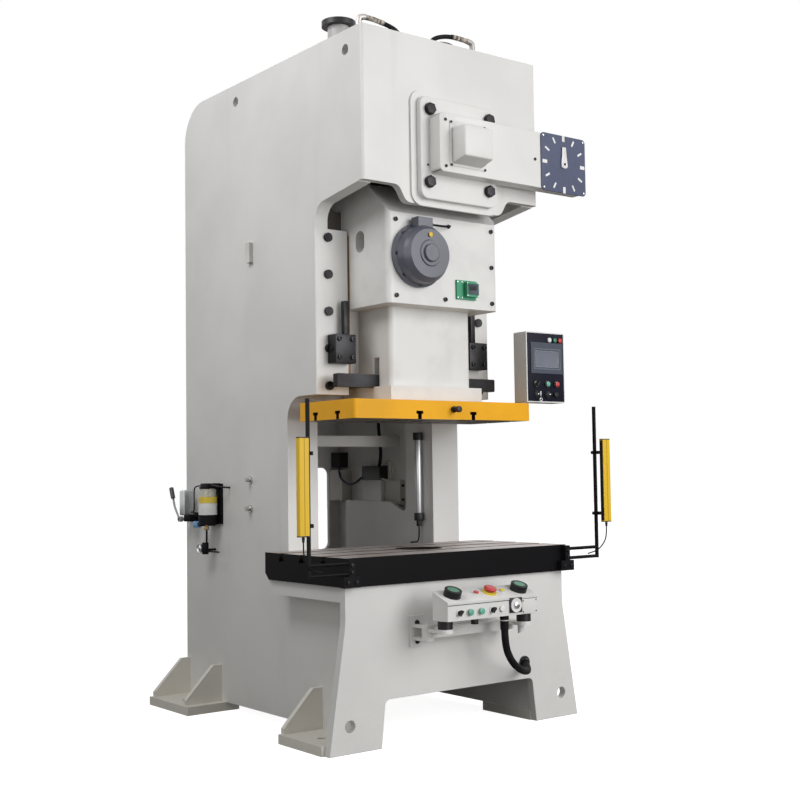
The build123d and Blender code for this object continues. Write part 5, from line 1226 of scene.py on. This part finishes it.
fit("lubricator_cap_holder", "frame", black_enamel, holder)
print("lubricator has its bowl and pipes")

# %% [markdown]
# The pump stands behind the bowl. Its foot, the plates on the press's side and the rods between them
# are one black weldment, and the pump's grey body stands on it.

# %% Pump of the lubricator
pump = slab((-618.0, -562.0), (1520.0, 1571.0), (986.0, 1115.0))
pump = soften(step_end(pump, TOP, (8.0, 4.0)), 4.0, segments=3)
fit("lubricator_pump_body", "frame", alloy, pump)
bracket = slab((0.0, 60.0), (ORIGIN_DEPTH - 18.0, ORIGIN_DEPTH + 18.0), (962.0, 984.0), soft=1.5)
cup = joined(disc(30.0, 955.0, 988.0, corners=48, soft=2.0), bracket)
foot = [repeated(cup, [upward(LUBE_X, 1516, 0)])]
for x_range, depth_range, z_range in (
    ((-540.0, -528.0), (1490.0, 1617.0), (950.0, 1000.0)),
    ((-540.0, -528.0), (1262.0, 1345.0), (945.0, 1152.0)),
    ((-588.0, -530.0), (1290.0, 1340.0), (945.0, 1000.0)),
):
    foot.append(slab(x_range, depth_range, z_range, soft=1.5))
for radius, low, high, soft, place in (
    (7.0, 0.0, 79.0, 0.8, to_left(-528, 1601, 966)),
    (5.0, 846.0, 946.0, 0.6, upward(LUBE_X, 1330, 0)),
    (17.0, 790.0, 850.0, 1.5, upward(LUBE_X, 1345, 0)),
    (6.0, 0.0, 61.0, 0.6, to_right(LUBE_X, 1345, 812)),
    (4.0, 0.0, 142.0, 0.6, to_front(LUBE_X, 1345, 806)),
):
    foot.append(repeated(disc(radius, low, high, soft=soft), [place]))
foot = fit("lubricator_pump_foot", "frame", black_enamel, joined(*foot))
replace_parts(foot, "lubricator_pump")
print("pump's foot has", len(foot.data.polygons), "faces")

# %% [markdown]
# Behind the throat a beam joins the side plates, and the air supply is fixed to the right wall: a
# long box with a row of screws, a black valve with clear loops of pipe, a dark blue hose and a cable
# that comes from the drive above.

# %% Air supply behind the throat
beam = slab((-457.5, 457.5), (1050.0, 1096.0), (1337.0, 1396.0))
fit("throat_beam", "frame", cream_enamel, apply_modifiers(round_edges(beam, "X", 4.0, 3)))
rack = slab((405.0, 457.5), (1157.0, 1332.0), (1016.0, 1154.5))
rack = soften(step_end(rack, LEFT, (6.0, -2.0)), 1.5)
fit("valve_rack", "frame", cream_enamel, rack)
rack_row = grid([431], range(1046, 1141, 13))
fit_screws("valve_rack_screws", "frame", chrome, (5.0, 6.0, 16), rack_row, 1157)
fit_screws("wall_box_bolts", "frame", black_steel, (7.0, 6.0, 20), grid([443], (1048, 1124)), 1010)
BLUE_HOSE = (
    *((404, 1560, 1250), (380, 1530, 1190), (372, 1480, 1150)),
    *((376, 1420, 1132), (384, 1360, 1140), (400, 1330, 1172)),
)
DRIVE_CABLE = (
    *((352, 1100, 1543), (350, 1100, 1470), (358, 1100, 1380)),
    *((376, 1110, 1290), (404, 1170, 1232)),
)
LOOP = ((1170, 1230), (1130, 1262), (1085, 1262), (1062, 1220), (1075, 1170), (1105, 1150), (1160, 1165))
fit("blue_hose", "frame", blue_rubber, tube(BLUE_HOSE, 6.0))
fit("drive_cable", "frame", rubber, tube(DRIVE_CABLE, 9.0))
for index, x in enumerate((405, 424), start=1):
    fit(f"clear_loop_{index}", "frame", oil_bowl, tube([(x, depth, z) for depth, z in LOOP], 4.0))
print("air supply is in place")

# %% [markdown]
# A tube lamp hangs on the right column and lights the die. It is an alloy tube between two black
# caps, with a short stub below, from which its cable runs to the bolster.

# %% Work lamp
LAMP_X, LAMP_DEPTH = 327, 722
LAMP_CABLE = (
    *((LAMP_X, LAMP_DEPTH, 945), (LAMP_X, LAMP_DEPTH, 900), (326, LAMP_DEPTH, 858)),
    *((318, LAMP_DEPTH, 836), (300, LAMP_DEPTH, 834), (270, LAMP_DEPTH, 834.5)),
)
fit("work_lamp_cable", "frame", rubber, tube(LAMP_CABLE, 4.0))
lamp_tube = disc(17.5, 980.0, 1369.0, corners=48, soft=0.6)
lamp_tube = fit("work_lamp_tube", "frame", alloy, lamp_tube, [upward(LAMP_X, LAMP_DEPTH, 0)])
cap = disc(25.5, 0.0, 40.0, corners=48)
for end in (TOP, -TOP):
    step_end(cap, end, (4.0, 0.0))
cap_places = [upward(LAMP_X, LAMP_DEPTH, z) for z in (945, 1364)]
fit("work_lamp_caps", "frame", black_plastic, soften(cap, 2.0), cap_places)
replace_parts(lamp_tube, "work_lamp")
stub_place = upward(LAMP_X, LAMP_DEPTH, 946)
fit_lenses(("work_lamp_stub", "frame", black_plastic, (14.0, -30.0, 0.0), stub_place))
print("work lamp has", len(cap_places), "caps")

# %% [markdown]
# The floor and the walls around it are white paper: the camera should see them as pure white, but
# they must not throw more light on the press. Light Path tells a camera ray from a ray that lights.
# To the camera the floor is pale and glows a little, so that only the press's shadow is grey; to every
# other ray it is a darker floor, as in a workshop, so the press stays darker near the ground.

# %% Floor and world
WORLD_LIGHT = 0.27
FLOOR_GLOW = 0.90
WHITE = rgb(1.0, 1.0, 1.0)
SEEN_RAYS = ("Is Camera Ray", "Is Glossy Ray", "Is Transmission Ray")
bpy.ops.mesh.primitive_plane_add(size=60.0, location=(0.0, 0.0, 0.0))
floor = bpy.context.object
floor.name = "floor"
paper = Finish("studio_floor")
grain = paper.noise(3.0) * 0.3
pale = paper.blend_colours(grain, rgb(0.76, 0.76, 0.76), rgb(0.74, 0.74, 0.74))
dull = paper.blend_colours(grain, rgb(0.24, 0.235, 0.22), rgb(0.22, 0.215, 0.20))
glow = paper.node("Emission", {}, {"Color": WHITE, "Strength": FLOOR_GLOW})
seen_floor = paper.node("AddShader", {}, {0: paper.node("BsdfDiffuse", {}, {"Color": pale}), 1: glow})
dull_floor = paper.node("BsdfDiffuse", {}, {"Color": dull})
camera_ray = paper.node("LightPath", output="Is Camera Ray")
paper.end_in(paper.node("MixShader", {}, {0: camera_ray, 1: dull_floor, 2: seen_floor}))
floor.data.materials.append(paper.owner)

world = Finish("studio_world", bpy.data.worlds)
bpy.context.scene.world = world.owner
first, second, third = (world.node("LightPath", output=ray) for ray in SEEN_RAYS)
seen = first.either(second).either(third)
strength = seen * (1.0 - WORLD_LIGHT) + WORLD_LIGHT
world.end_in(world.node("Background", {}, {"Color": WHITE, "Strength": strength}), "OutputWorld")
print("world lights with a strength of", WORLD_LIGHT)

# %% [markdown]
# Four large soft lamps light the press, as in a photo studio. Two look at the front, one from the
# right and one from low down, so that the apron is as light as the head. One lights the left side
# plate evenly, and a closer one stands high, so that this plate grows darker towards the floor.

# %% Lamps
LAMPS = (
    ("key", (2.0, -6.0, 3.7), (0.0, -0.8, 1.6), 3.5, 178.0),
    ("front", (0.6, -6.4, 1.3), (0.0, -0.8, 0.9), 3.0, 112.0),
    ("left", (-5.6, -2.6, 2.2), (-0.5, 0.2, 1.4), 3.0, 33.0),
    ("high", (-3.0, -0.3, 4.4), (-0.5, 0.1, 3.0), 1.8, 62.0),
)
for name, place, aim, size, watts in LAMPS:
    data = bpy.data.lights.new(name, "AREA")
    data.size = size
    data.energy = watts
    lamp = bpy.data.objects.new(name, data)
    bpy.context.collection.objects.link(lamp)
    turn = (Vector(aim) - Vector(place)).to_track_quat("-Z", "Y").to_matrix().to_4x4()
    lamp.matrix_world = Matrix.Translation(place) @ turn
print("lamps:", len(LAMPS))
